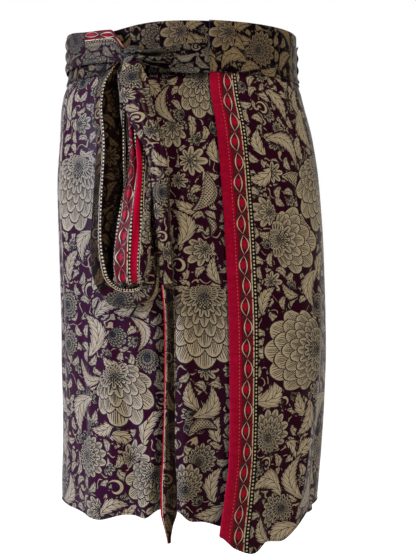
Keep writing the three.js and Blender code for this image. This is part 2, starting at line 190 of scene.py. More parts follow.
# The height where the folds have their full depth, and the heights over which the small creases set in
FULL_FOLDS, CREASES_SET_IN = 640.0, (66.0, 82.0)
# The free edge's lift off the layer below: where it starts, its depth at the hem, its half width in degrees
EDGE_LIFT = {"from_z": -380, "depth": 17, "half": 7.5}
# How far the free edge swings round from a straight line by height, and how far that reaches, in degrees
EDGE_SWING = {
    "z": (-66, -180, -300, -400, -560, -600, -665),
    "turn": (0, 0.5, 1.1, 1.5, 1.3, 0.4, -1.3),
    "reach": 16.0,
}


def smooth(x, start, end):
    """0 before start and 1 after end, with 3t² − 2t³ between them."""
    t = np.clip((x - start) / (end - start), 0, 1)
    return t * t * (3 - 2 * t)


def through(keys, values, x):
    """A monotone cubic through points: each slope is the harmonic mean of those beside it, 0 at the ends."""
    keys, values = np.asarray(keys, float), np.asarray(values, float)
    if keys[0] > keys[-1]:
        keys, values = keys[::-1], values[::-1]
    rise = np.diff(values) / np.diff(keys)
    before, after = rise[:-1], rise[1:]
    same = before * after > 0
    slope = np.zeros(len(keys))
    slope[1:-1][same] = 2 * before[same] * after[same] / (before[same] + after[same])
    i = np.clip(np.searchsorted(keys, x, side="right") - 1, 0, len(keys) - 2)
    step = keys[i + 1] - keys[i]
    t = np.clip((x - keys[i]) / step, 0, 1)
    return ((2 * t**3 - 3 * t**2 + 1) * values[i] + (t**3 - 2 * t**2 + t) * step * slope[i]
            + (3 * t**2 - 2 * t**3) * values[i + 1] + (t**3 - t**2) * step * slope[i + 1])


def outline_at(z):
    """The middle, half width and half depth of the worn outline at a height, from its table."""
    return [through(OUTLINE["z"], OUTLINE[column], z) for column in ("mid_x", "half_width", "half_depth")]


def on_outline(angle, z, out):
    """The ellipse of that height at an angle from the front, moved out along its normal in plan."""
    middle, half_width, half_depth = outline_at(z)
    across, front = np.sin(np.radians(angle)), -np.cos(np.radians(angle))
    normal = np.stack([half_depth * across, half_width * front])
    normal /= np.linalg.norm(normal, axis=0)
    x = middle + half_width * across + normal[0] * out
    y = half_depth * front + normal[1] * out
    return np.stack([x, y, z + 0 * x], axis=-1)


def fold_out(angle, z):
    """The sum of the long folds: each a bell curve across, growing from its start down to the hem."""
    total = np.zeros(np.broadcast(angle, z).shape)
    for top, hem, half, start, depth in FOLDS:
        share = smooth(-z, -start, FULL_FOLDS)
        middle = top + (hem - top) * share
        across = ((angle - middle + 180) % 360 - 180) / half
        total = total + depth * share * np.exp(-across**2)
    return total


def layer_out(angle):
    """0 on the outer layer, and the underlap's depth inwards where the cloth passes under it."""
    return -UNDERLAP_DEPTH * smooth(angle, *UNDERLAP_EASE)


def edge_out(angle, z):
    """The free edge's lift off the layer below: half a bell curve from the edge, growing down to the hem."""
    past = (angle - FREE_EDGE_ANGLE) / EDGE_LIFT["half"]
    return EDGE_LIFT["depth"] * smooth(-z, -EDGE_LIFT["from_z"], FULL_FOLDS) * np.exp(-past**2)


def edge_swing(angle, z):
    """How far the cloth near the free edge swings round the body: the edge's own swing, fading away from the
    edge as half a bell curve."""
    past = (angle - FREE_EDGE_ANGLE) / EDGE_SWING["reach"]
    return through(EDGE_SWING["z"], EDGE_SWING["turn"], z) * np.exp(-past**2)


# Small creases, front first: angle, height, half length and half width in millimetres, how far it stands out,
# and its lean from upright in degrees
CREASES = (
    (332, -92, 30, 5, -1.6, 20), (338, -100, 42, 6, 1.4, 12), (346, -96, 36, 4.5, -1.4, 6),
    (353, -100, 44, 5, 1.5, -4), (0, -92, 30, 4, -1.3, -8), (7, -98, 38, 5, 1.2, -10),
    (22, -88, 24, 4, -0.9, 0), (31, -92, 30, 5, 1.2, 4), (42, -88, 24, 4, -1.1, -4), (54, -94, 34, 5, 1.2, 2),
    (68, -90, 28, 5, -1.1, 0), (84, -92, 30, 5, 1.2, 0), (300, -96, 36, 6, 1.3, 8),
    (310, -90, 28, 5, -1.2, 10), (318, -98, 34, 5, 1.3, 14), (289, -90, 28, 5, -1.1, 4),
    (276, -94, 32, 6, 1.2, 0), (104, -92, 30, 5, -1.2, 0), (122, -96, 34, 6, 1.3, 0),
    (140, -90, 28, 5, -1.1, 3), (160, -94, 32, 6, 1.3, -3), (180, -90, 30, 5, -1.2, 0),
    (199, -94, 34, 6, 1.3, 2), (218, -92, 28, 5, -1.1, 0), (236, -94, 32, 6, 1.2, 0),
    (256, -90, 28, 5, -1.1, 0), (356, -320, 170, 6, 5.4, -3), (350, -340, 150, 7, -5.6, -3),
    (2, -430, 130, 6, -6.6, 2), (8, -490, 110, 5, 4.2, 0), (340, -420, 120, 8, -4.6, 4),
    (324, -490, 120, 9, 5.6, 3), (333, -550, 80, 7, -6.4, 6), (306, -500, 100, 9, -4.6, 0),
    (344, -570, 70, 6, 6.8, -5), (0, -570, 70, 5, -5.4, 2), (28, -300, 130, 8, 1.8, -4),
    (48, -330, 130, 9, -2.2, -6), (66, -420, 120, 10, 2.4, -4), (36, -560, 70, 6, -5.0, -14),
    (56, -570, 60, 7, 4.6, -10), (72, -560, 70, 8, -2.6, 0), (292, -300, 160, 10, 2.4, 2),
    (283, -420, 140, 9, -3.0, 0), (299, -180, 70, 8, -1.8, 10), (20, -180, 60, 8, 1.4, -20),
    (60, -180, 70, 9, -1.8, 16), (98, -430, 140, 10, 1.5, 0), (124, -420, 150, 10, -1.6, 2),
    (146, -450, 130, 9, 1.4, 0), (168, -400, 150, 10, -1.4, -2), (190, -440, 140, 9, 1.5, 1),
    (212, -420, 150, 10, -1.5, 0), (240, -430, 140, 9, 1.4, 2), (262, -440, 130, 9, -1.4, 0),
)


def crease_out(table, mm_per_degree, angle, z):
    """The sum of a table's small creases: each a bell curve up and round, turned by its lean."""
    total = np.zeros(np.broadcast(angle, z).shape)
    for middle, height, half_up, half_round, depth, lean in table:
        round_mm = ((angle - middle + 180) % 360 - 180) * mm_per_degree
        c, s = math.cos(math.radians(lean)), math.sin(math.radians(lean))
        across, along = c * round_mm + s * (z - height), c * (z - height) - s * round_mm
        total = total + depth * np.exp(-(across / half_round) ** 2 - (along / half_up) ** 2)
    return total


def arc_table():
    """Angles round the wrap with the length of cloth up to each, measured along the ellipse at the hips."""
    angles = np.linspace(FREE_EDGE_ANGLE, UNDERLAP_END_ANGLE, ARC_STEPS + 1)
    steps = np.linalg.norm(np.diff(on_outline(angles, np.full_like(angles, HIP_LEVEL), 0), axis=0), axis=1)
    return angles, np.concatenate([[0], np.cumsum(steps)])


ARC_ANGLES, ARC_LENGTHS = arc_table()
SEAM_LEVEL = -BAND_HEIGHT - 2 * SEAM_GAP


def panel_points(angle, down, out=0.0):
    """The panel's surface: the worn outline with its layers, folds, lifted edge and creases, from the
    waistband's seam at 0 to the hem at 1. A positive out lies outside it."""
    z = SEAM_LEVEL + (through(HEM["angle"], HEM["z"], angle) - SEAM_LEVEL) * down
    small = crease_out(CREASES, MM_PER_DEGREE, angle, z) * smooth(-z, *CREASES_SET_IN)
    relief = fold_out(angle, z) + edge_out(angle, z) + small
    return on_outline(angle + edge_swing(angle, z), z, layer_out(angle) + relief + out)


def grid_mesh(name, points, cloth, wall, materials):
    """A piece of cloth from a grid of points in millimetres, columns first: quads facing the side on which
    rows crossed with columns point, smooth, with the place on the flat cloth as an attribute and a wall."""
    columns, rows = points.shape[0], points.shape[1]
    number = np.arange(columns * rows).reshape(columns, rows)
    quads = np.stack([number[:-1, :-1], number[:-1, 1:], number[1:, 1:], number[1:, :-1]], axis=-1)
    quads = quads.reshape(-1, 4)
    mesh = bpy.data.meshes.new(name)
    mesh.vertices.add(columns * rows)
    mesh.vertices.foreach_set("co", (points * MILLIMETRE).astype(np.float32).ravel())
    mesh.loops.add(quads.size)
    mesh.loops.foreach_set("vertex_index", quads.astype(np.int32).ravel())
    mesh.polygons.add(len(quads))
    mesh.polygons.foreach_set("loop_start", np.arange(0, quads.size, 4, dtype=np.int32))
    mesh.update(calc_edges=True)
    mesh.validate()
    mesh.shade_smooth()
    place = mesh.attributes.new("cloth", "FLOAT_VECTOR", "POINT")
    place.data.foreach_set("vector", np.dstack([cloth, 0 * cloth[..., :1]]).astype(np.float32).ravel())
    for material in materials:
        mesh.materials.append(material)
    piece = bpy.data.objects.new(name, mesh)
    bpy.context.scene.collection.objects.link(piece)
    solid = piece.modifiers.new("wall", "SOLIDIFY")
    solid.thickness = wall * MILLIMETRE
    solid.offset = 0
    solid.material_offset = min(len(materials) - 1, 1)
    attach(piece, "root")
    return piece


# How each printed motif is drawn: its family, petals or lobes, rows of petals or half width, and lean or bend
BLOOM, LEAF, PAISLEY, CURL = 0.0, 1.0, 2.0, 3.0
MOTIFS = {
    "mum": (BLOOM, 17, 5, 0.8),
    "peony": (BLOOM, 13, 6, 1.4),
    "palmette": (BLOOM, 17, 8, 1.5),
    "daisy": (BLOOM, 9, 2, 0.6),
    "aster": (BLOOM, 11, 3, 1.3),
    "leaf": (LEAF, 5, 0.46, 0.6),
    "acanthus": (LEAF, 6, 0.54, -1.0),
    "sprig": (LEAF, 4, 0.58, 0.6),
    "frond": (LEAF, 9, 0.38, 1.0),
    "paisley": (PAISLEY, 14, 0.42, 0.8),
    "curl": (CURL, 1, 1, 0.0),
}

# The print where the photo shows it: motif, its middle in the photo's pixels, its radius in millimetres, and
# the way it points in degrees, 0 to the right and 90 up
RIGHT_PRINT = (
    ("peony", 297, 240, 44, 0), ("palmette", 297, 350, 54, 180), ("mum", 270, 430, 29, 60),
    ("mum", 275, 510, 24, 200), ("aster", 262, 212, 20, 180), ("paisley", 296, 186, 26, 320),
    ("frond", 284, 149, 26, 325), ("daisy", 274, 172, 15, 0), ("acanthus", 305, 130, 24, 280),
    ("leaf", 277, 104, 20, 300), ("curl", 262, 108, 11, 0), ("leaf", 268, 92, 18, 200),
    ("daisy", 278, 128, 10, 0), ("sprig", 291, 99, 16, 250), ("sprig", 259, 142, 15, 100),
    ("sprig", 260, 176, 16, 200), ("daisy", 273, 282, 15, 0), ("acanthus", 312, 288, 22, 260),
    ("leaf", 266, 300, 18, 60), ("leaf", 290, 291, 14, 150), ("acanthus", 268, 390, 24, 40),
    ("sprig", 262, 350, 14, 190), ("leaf", 304, 418, 22, 240), ("frond", 294, 476, 26, 95),
    ("curl", 264, 464, 12, 0), ("acanthus", 266, 486, 22, 170), ("leaf", 304, 448, 20, 30),
    ("aster", 308, 500, 18, 0), ("acanthus", 282, 536, 22, 220), ("leaf", 262, 530, 18, 120),
    ("sprig", 314, 205, 16, 90), ("sprig", 312, 165, 15, 60), ("daisy", 316, 390, 14, 0),
    ("curl", 285, 402, 10, 90), ("leaf", 316, 470, 18, 100), ("sprig", 292, 450, 14, 300),
)
LEFT_PRINT = (
    ("palmette", 205, 328, 54, 270), ("peony", 124, 396, 42, 300), ("palmette", 72, 194, 52, 250),
    ("mum", 92, 456, 28, 0), ("peony", 143, 484, 30, 220), ("peony", 200, 94, 32, 260),
    ("mum", 185, 482, 25, 90), ("mum", 203, 459, 20, 45), ("aster", 172, 134, 19, 270),
    ("mum", 146, 362, 17, 270), ("paisley", 203, 192, 27, 250), ("daisy", 194, 160, 20, 0),
    ("aster", 197, 252, 19, 200), ("aster", 136, 456, 22, 20), ("mum", 70, 305, 18, 0),
    ("mum", 70, 342, 18, 30), ("peony", 117, 338, 14, 330), ("acanthus", 91, 334, 24, 100),
    ("frond", 137, 334, 20, 280), ("leaf", 105, 310, 18, 20), ("leaf", 122, 308, 16, 190),
    ("acanthus", 140, 306, 16, 10), ("leaf", 115, 364, 18, 160), ("frond", 89, 372, 22, 150),
    ("acanthus", 82, 412, 24, 240), ("leaf", 151, 426, 22, 60), ("curl", 115, 488, 13, 0),
    ("aster", 95, 508, 18, 180), ("leaf", 113, 508, 18, 20), ("daisy", 209, 370, 15, 0),
    ("leaf", 193, 397, 18, 110), ("acanthus", 207, 404, 20, 60), ("paisley", 203, 429, 20, 10),
    ("leaf", 216, 485, 20, 80), ("leaf", 211, 512, 20, 200), ("frond", 167, 103, 22, 95),
    ("daisy", 180, 180, 12, 0), ("paisley", 211, 226, 13, 280), ("acanthus", 180, 226, 20, 100),
    ("curl", 178, 266, 12, 0), ("mum", 83, 78, 15, 90), ("leaf", 71, 103, 20, 80), ("aster", 83, 123, 15, 0),
    ("daisy", 95, 108, 11, 0), ("acanthus", 85, 245, 20, 240), ("leaf", 72, 264, 20, 60),
    ("sprig", 62, 150, 14, 90), ("leaf", 62, 250, 16, 270), ("sprig", 100, 280, 16, 30),
    ("curl", 90, 290, 12, 90), ("sprig", 63, 400, 16, 120), ("leaf", 66, 440, 18, 80),
    ("acanthus", 68, 488, 20, 60), ("sprig", 216, 150, 14, 100), ("sprig", 186, 205, 14, 160),
    ("leaf", 216, 270, 16, 100), ("acanthus", 186, 300, 20, 120), ("sprig", 218, 430, 14, 90),
    ("daisy", 166, 420, 14, 0), ("curl", 160, 400, 12, 0), ("aster", 160, 510, 18, 270),
    ("leaf", 104, 426, 18, 200), ("sprig", 120, 440, 14, 330), ("leaf", 128, 516, 16, 60),
    ("mum", 125, 200, 24, 0), ("peony", 150, 250, 30, 120), ("leaf", 110, 160, 20, 40),
    ("acanthus", 145, 170, 22, 260), ("leaf", 120, 260, 22, 220), ("aster", 100, 230, 18, 0),
    ("daisy", 130, 110, 14, 0), ("acanthus", 112, 120, 22, 100), ("leaf", 150, 90, 20, 320),
    ("sprig", 118, 90, 16, 120), ("curl", 146, 290, 12, 40), ("leaf", 140, 130, 18, 20),
)
PRINT_REPEAT = 300.0
# Leaves are drawn this much larger than their measured radius, since their lobes stay within the circle
LEAF_GROWTH = 1.18
# The sight lines: how often the point is worked out again, the depth to start from, and the widest share of
# the half width taken, since a line past that only grazes the skirt
SIGHT_ROUNDS, FIRST_DEPTH, WIDEST_SIGHT = 6, 120.0, 0.985


def on_cloth(x_pixel, y_pixel):
    """Where the sight line through a pixel of the photo meets the skirt: a few rounds of height, then depth
    of the front at that x, give the angle, and with it the place on the flat cloth in millimetres."""
    out_of_line = (x_pixel - PHOTO_WIDTH / 2) / LENS_PIXELS
    rise = (HORIZON_PIXEL - y_pixel) / LENS_PIXELS
    depth = FIRST_DEPTH
    for _ in range(SIGHT_ROUNDS):
        distance = -EYE[1] / MILLIMETRE - depth
        x, z = EYE[0] / MILLIMETRE + out_of_line * distance, EYE[2] / MILLIMETRE + rise * distance
        middle, half_width, half_depth = outline_at(z)
        across = np.clip((x - middle) / half_width, -WIDEST_SIGHT, WIDEST_SIGHT)
        depth = half_depth * math.sqrt(1 - across**2)
    return math.degrees(math.asin(across)), SEAM_LEVEL - z


def largest_first(stamps):
    """The motifs sorted by size, since smaller ones lie under larger ones."""
    return sorted(stamps, key=lambda row: -row[3])


def stamps_on_panel():
    """The right print from the free edge on, and the left print again and again round the back and under the
    outer layer, one repeat apart."""
    stamps = []
    for table, first_turn, repeats in ((RIGHT_PRINT, 0, (0,)), (LEFT_PRINT, 360, (-1, 0, 1, 2))):
        for motif, x_pixel, y_pixel, size, turn in table:
            angle, down = on_cloth(x_pixel, y_pixel)
            size *= LEAF_GROWTH if MOTIFS[motif][0] == LEAF else 1
            place = np.interp(angle + first_turn, ARC_ANGLES, ARC_LENGTHS)
            stamps += [(motif, place - back * PRINT_REPEAT, down, size, turn) for back in repeats]
    return largest_first([row for row in stamps if -row[3] < row[1] < ARC_LENGTHS[-1] + row[3]])


SLOTS = 4
# A motif's own coordinates on faces where it isn't, well outside its circle of 1
NOWHERE = 9.0


def put_print(piece, cloth, stamps):
    """Gives each face the motifs that lie on it, up to four, largest first. A motif's corner values are its
    own coordinates at that corner of the face, in its radius, and its family with its radius in metres added;
    beside them go its petals, rows and lean."""
    corners = np.stack([cloth[:-1, :-1], cloth[:-1, 1:], cloth[1:, 1:], cloth[1:, :-1]], axis=2)
    corners = corners.reshape(-1, 4, 2)
    middle = corners.mean(axis=1)
    reach = np.linalg.norm(corners - middle[:, None], axis=2).max()
    taken = np.zeros(len(middle), int)
    local = np.full((SLOTS, len(middle), 4, 3), NOWHERE, np.float32)
    form = np.ones((SLOTS, len(middle), 4, 3), np.float32)
    for motif, u, v, size, turn in stamps:
        family, count, rows, lean = MOTIFS[motif]
        far = np.hypot(middle[:, 0] - u, middle[:, 1] - v)
        near = np.flatnonzero((far < size + reach) & (taken < SLOTS))
        c, s = math.cos(math.radians(turn)), math.sin(math.radians(turn))
        right, up = (corners[near, :, 0] - u) / size, (v - corners[near, :, 1]) / size
        kind = 0 * up + family + size * MILLIMETRE
        local[taken[near], near] = np.stack([c * right + s * up, c * up - s * right, kind], axis=-1)
        form[taken[near], near] = (count, rows, lean)
        taken[near] += 1
    for number in range(SLOTS):
        for name, values in (("motif", local), ("form", form)):
            attribute = piece.data.attributes.new(f"{name}{number}", "FLOAT_VECTOR", "CORNER")
            attribute.data.foreach_set("vector", values[number].ravel())


# How every motif is drawn: its lines in millimetres, and the clear ground round it in lines
LINE_WIDTH, CLEAR_LINES = 1.1, 2.5
# Blooms: the base's distance from the middle for a lean of 1, how rows crowd together inwards, how sharply
# and how far a scale bends back at its sides, the vein's width and start, and the heart's size, in shares
BASE_BACK, ROW_POWER, TIP_POWER, TIP_BEND = 0.5, 0.85, 2.2, 0.85
VEIN_WIDTH, VEIN_START, HEART_SIZE = 0.4, 0.34, 0.2
# Hatching: its teeth for a scale between two radii in millimetres, its taper outwards, and how much it fills
TEETH_BY_RADIUS, HATCH_TAPER, HATCH_FILL = (24.0, 46.0, 3.0, 4.5), (0.8, -0.2), 0.85
# Leaves: how the midrib bends, how their width swells from stem to tip, how the lobes lean and how deep they
# are, and widths of the rim and rib in lines and of the veins as a share of a lobe
MIDRIB_BEND, SWELL_POWERS, LOBE_LEAN, LOBE_POWER, LOBE_DEPTH = (0.7, -0.3), (0.8, 0.75), -0.8, 0.6, 0.5
RIM_LINES, RIB_LINES, VEIN_SHARE = 0.9, 0.4, 0.07
# Paisleys: their inner line's distance from the rim, its half width, and where their dots start
INNER_LINE, INNER_HALF, DOTS_START = 0.13, 0.03, 0.16
# Curls: the spiral's growth and start, the band's half width, and its clear ground and outline
SPIRAL, CURL_HALF, CURL_CLEAR, CURL_LINE = (0.6, 0.3), 0.2, -0.2, 0.05


def motif_drawing():
    """A group that draws one motif from its own coordinates in its radius. Bloom: rows of scales in polar
    coordinates about a base that lies back from its middle, each tip bent back at its sides, each scale
    hatched from its base. Leaf: half its width is a sine along it, with lobes that lean forward. Curl: a band
    round a spiral. It returns where the motif covers, where it is inked, and where the ground is clear."""
    t = bpy.data.node_groups.new("printed_motif", "ShaderNodeTree")
    for name, kind in (("Place", "Vector"), ("Form", "Vector"), ("Dots", "Float")):
        t.interface.new_socket(name, in_out="INPUT", socket_type="NodeSocket" + kind)
    for name in ("Cover", "Ink", "Clear"):
        t.interface.new_socket(name, in_out="OUTPUT", socket_type="NodeSocketFloat")
    given = t.nodes.new("NodeGroupInput").outputs
    x, y, kind = add(t, "SeparateXYZ", given["Place"])
    count, rows, lean = add(t, "SeparateXYZ", given["Form"])
    family = add(t, "FLOOR", kind)
    radius = add(t, "MULTIPLY", add(t, "FRACT", kind), 1 / MILLIMETRE)
    line = add(t, "DIVIDE", LINE_WIDTH, radius)
    distance = add(t, "VectorMath.LENGTH", add(t, "CombineXYZ", x, y, 0.0))

    # Bloom: the turn round its base as petals, and the share of the way out from the base as rows
    back = add(t, "MULTIPLY", lean, BASE_BACK)
    from_base = add(t, "ADD", x, back)
    turn = add(t, "ARCTAN2", y, from_base)
    sine, cosine = add(t, "SINE", turn), add(t, "COSINE", turn)
    sideways = add(t, "MULTIPLY", sine, back)
    chord = add(t, "SQRT", add(t, "SUBTRACT", 1.0, add(t, "MULTIPLY", sideways, sideways)))
    full = add(t, "MULTIPLY_ADD", cosine, back, chord)
    reach = add(t, "VectorMath.LENGTH", add(t, "CombineXYZ", from_base, y, 0.0))
    stretched = add(t, "DIVIDE", reach, full)
    ring = add(t, "MULTIPLY", add(t, "POWER", stretched, ROW_POWER), rows)
    thin = add(t, "MULTIPLY", line, rows)
    petals = add(t, "MULTIPLY", add(t, "DIVIDE", turn, 2 * math.pi), count)

    def to_side(row):
        """How far towards its petal's side a place is, 0 to 1. Each row is half a petal on from the last."""
        shift = add(t, "MULTIPLY_ADD", row, 0.5, petals)
        return add(t, "MULTIPLY", add(t, "ABSOLUTE", add(t, "SUBTRACT", add(t, "FRACT", shift), 0.5)), 2.0)

    def bent_back(side):
        """How far the scale's tip bends back there, in rows: a power of that distance."""
        return add(t, "MULTIPLY", add(t, "POWER", side, TIP_POWER), TIP_BEND)

    inner = add(t, "FLOOR", ring)
    past_tip = add(t, "ADD", add(t, "FRACT", ring), bent_back(to_side(inner)))
    row = add(t, "ADD", inner, add(t, "GREATER_THAN", past_tip, 1.0))
    side = to_side(row)
    tip = add(t, "SUBTRACT", add(t, "SUBTRACT", add(t, "ADD", row, 1.0), bent_back(side)), ring)
    bloom_cover = add(t, "LESS_THAN", row, add(t, "SUBTRACT", rows, 0.5))
    bloom_clear = add(t, "LESS_THAN", ring, add(t, "MULTIPLY_ADD", thin, CLEAR_LINES, rows))
    outline = add(t, "LESS_THAN", tip, thin)
    fine = add(t, "DIVIDE", add(t, "MULTIPLY", line, count), add(t, "MULTIPLY", reach, math.pi))
    vein = add(t, "LESS_THAN", side, add(t, "MULTIPLY", fine, VEIN_WIDTH))
    vein = add(t, "MULTIPLY", vein, add(t, "GREATER_THAN", tip, VEIN_START))
    teeth = add(t, "MapRange", radius, *TEETH_BY_RADIUS)
    comb = add(t, "FRACT", add(t, "MULTIPLY_ADD", side, teeth, 0.5))
    taper = add(t, "MULTIPLY_ADD", tip, *HATCH_TAPER)
    widest = add(t, "MULTIPLY", add(t, "MULTIPLY", fine, teeth), HATCH_FILL)
    hatch = add(t, "LESS_THAN", comb, add(t, "MINIMUM", taper, widest))
    heart = add(t, "MULTIPLY", add(t, "LESS_THAN", stretched, HEART_SIZE), given["Dots"])
    bloom_ink = add(t, "MAXIMUM", add(t, "MAXIMUM", outline, vein), add(t, "MAXIMUM", hatch, heart))

    # Leaf: rows holds its half width, and the lobes' phase runs forward with the distance from the midrib
    along = add(t, "MULTIPLY_ADD", x, 0.5, 0.5, use_clamp=True)
    arch = add(t, "SUBTRACT", 1.0, add(t, "MULTIPLY", x, x))
    bend, sink = MIDRIB_BEND
    midrib = add(t, "MULTIPLY_ADD", add(t, "MULTIPLY", arch, lean), bend, add(t, "MULTIPLY", lean, sink))
    off = add(t, "ABSOLUTE", add(t, "SUBTRACT", y, midrib))
    first_power, second_power = SWELL_POWERS
    swell = add(t, "SINE", add(t, "MULTIPLY", add(t, "POWER", along, first_power), math.pi))
    half = add(t, "MULTIPLY", add(t, "POWER", swell, second_power), rows)
    phase = add(t, "MULTIPLY", add(t, "MULTIPLY_ADD", off, LOBE_LEAN, along), count)
    lobe = add(t, "POWER", add(t, "ABSOLUTE", add(t, "SINE", add(t, "MULTIPLY", phase, math.pi))), LOBE_POWER)
    edge = add(t, "MULTIPLY", half, add(t, "MULTIPLY_ADD", lobe, LOBE_DEPTH, 1 - LOBE_DEPTH))
    depth = add(t, "SUBTRACT", edge, off)
    leaf_cover = add(t, "GREATER_THAN", depth, 0.0)
    leaf_clear = add(t, "GREATER_THAN", depth, add(t, "MULTIPLY", line, -CLEAR_LINES))
    rim = add(t, "LESS_THAN", depth, add(t, "MULTIPLY", line, RIM_LINES))
    rib = add(t, "LESS_THAN", off, add(t, "MULTIPLY", line, RIB_LINES))
    apart = add(t, "ABSOLUTE", add(t, "SUBTRACT", add(t, "FRACT", phase), 0.5))
    leafy = add(t, "MAXIMUM", rib, add(t, "LESS_THAN", apart, VEIN_SHARE))
    inner_line = add(t, "COMPARE", depth, INNER_LINE, INNER_HALF)
    filled = add(t, "MULTIPLY", given["Dots"], add(t, "GREATER_THAN", depth, DOTS_START))
    figured = add(t, "MAXIMUM", inner_line, filled)
    is_paisley = add(t, "GREATER_THAN", family, 1.5)
    leaf_ink = add(t, "MAXIMUM", rim, add(t, "Mix.FLOAT", is_paisley, leafy, figured))

    # Curl: a spiral band that is widest in its middle
    round_once = add(t, "MULTIPLY_ADD", turn, 0.5 / math.pi, 0.5)
    spiral = add(t, "MULTIPLY_ADD", round_once, *SPIRAL)
    band = add(t, "MULTIPLY", add(t, "SINE", add(t, "MULTIPLY", round_once, math.pi)), CURL_HALF)
    inward = add(t, "SUBTRACT", band, add(t, "ABSOLUTE", add(t, "SUBTRACT", distance, spiral)))
    curl_cover = add(t, "GREATER_THAN", inward, 0.0)
    curl_clear = add(t, "GREATER_THAN", inward, CURL_CLEAR)
    curl_ink = add(t, "LESS_THAN", inward, CURL_LINE)

    is_leaf = add(t, "GREATER_THAN", family, 0.5)
    is_curl = add(t, "GREATER_THAN", family, 2.5)
    inside_circle = add(t, "LESS_THAN", distance, 1.0)
    results = []
    for bloom, leaf, curl in ((bloom_cover, leaf_cover, curl_cover), (bloom_ink, leaf_ink, curl_ink),
                              (bloom_clear, leaf_clear, curl_clear)):
        drawn = add(t, "Mix.FLOAT", is_curl, add(t, "Mix.FLOAT", is_leaf, bloom, leaf), curl)
        results.append(add(t, "MULTIPLY", drawn, inside_circle))
    given_back = t.nodes.new("NodeGroupOutput").inputs
    for name, result in zip(("Cover", "Ink", "Clear"), results):
        t.links.new(result, given_back[name])
    return t


MOTIF_GROUP = motif_drawing()

# Colours of the print: a dark aubergine ground, purpler towards the underlap's end as a painted cool sheen
# where the left front faces the cool light, motifs left in the silk's own tan, and a blue-black outline. The
# waistband's two plies are drawn darker than the panel.
GROUNDS = ("#1c030f", "#2c061b", "#2f0826")
PANEL_TANS = ("#90866f", "#ada48f")
BAND_GROUNDS, BAND_TANS = ("#060003", "#0e0208", "#0d0209"), ("#625540", "#867759")
# The ties' and the outer loop's tans are darker copies of the same silk's tan, as painted shade: the ties'
# against the strong light at the left, the outer loop's for its shadow
SHADED_TIE_TANS = ("#5e5849", "#78715f")
BOW_TANS, SHADED_LOOP_TANS = ("#857a63", "#a3977c"), ("#6e644e", "#8a7f63")
INK = "#1c2027"
# The wrong side of the same print: dull, as only what soaked through shows there, and drawn nearly black as
# painted shade for the shadowed insides of ties and loops and for stretches of loop and tail in shadow
WRONG_SIDE_SHADE_GROUNDS, WRONG_SIDE_SHADE_TANS, WRONG_SIDE_SHADE_INK = ("#0d0608", "#140a0c", "#140a0c"), ("#3d3122", "#524431"), "#0a0707"
CRIMSON, CRIMSON_DEEP, CRIMSON_SHADE = "#98042a", "#6c051c", "#520416"
CREAM, BAND_BLACK = "#b0a58a", "#0b0c10"

# The printed border across the cloth: each stripe's far side in millimetres from the edge, and what it shows
EDGE_STRIPES = ((15.0, "plain"), (32.0, "leaves"), (33.6, "line"), (40.0, "dots"))
# Real threads lie about 0.3 mm apart. They are drawn five times as coarse, so that they show.
THREAD_SPACING = 1.6
# The print's outlines shake by this much, over a noise of this scale in a millimetre, and its motifs by this
# share of their radius for each millimetre
SHAKE_SCALE, SHAKE_DEPTH, SHAKE_SHARE = 0.09, (2.4, 2.4, 0), 0.02
# Dots in hearts and paisleys: radians in a millimetre both ways, and how high on the waves' product they lie
DOT_WAVES, DOT_FROM = 1.5, 0.12
# The purpler stretch of the panel, a painted cool sheen where the left front faces the cool light: its middle
# along the cloth and its half width
COOL_SHEEN_MIDDLE, COOL_SHEEN_HALF = 770.0, 130.0
# Sprigs and small daisies scattered between the placed motifs: spacing and radius in millimetres, how freely
# they stand, the share of daisies, and the petals, rows and lean of a daisy and a sprig
SCATTER_SPACING, SCATTER_RADIUS, SCATTER_FREEDOM, DAISY_SHARE = 18.0, 10.0, 0.6, 0.16
DAISY_FORM, SPRIG_FORM = (9, 3, 1.2), (3.5, 0.6, 0.7)
# Noise scales in a millimetre of the ground's clouds, thin stems and uneven tan, and the stems' half width
CLOUD_SCALE, STEM_SCALE, TAN_SCALE, STEM_HALF = 0.02, 0.045, 0.035, 0.014
# Slubs: their noise scale in a millimetre along the thread, and how dark and light their streaks are
SLUB_LENGTH_SCALE, STREAKS = 0.12, (0.75, 1.25, 0.80, 1.18)


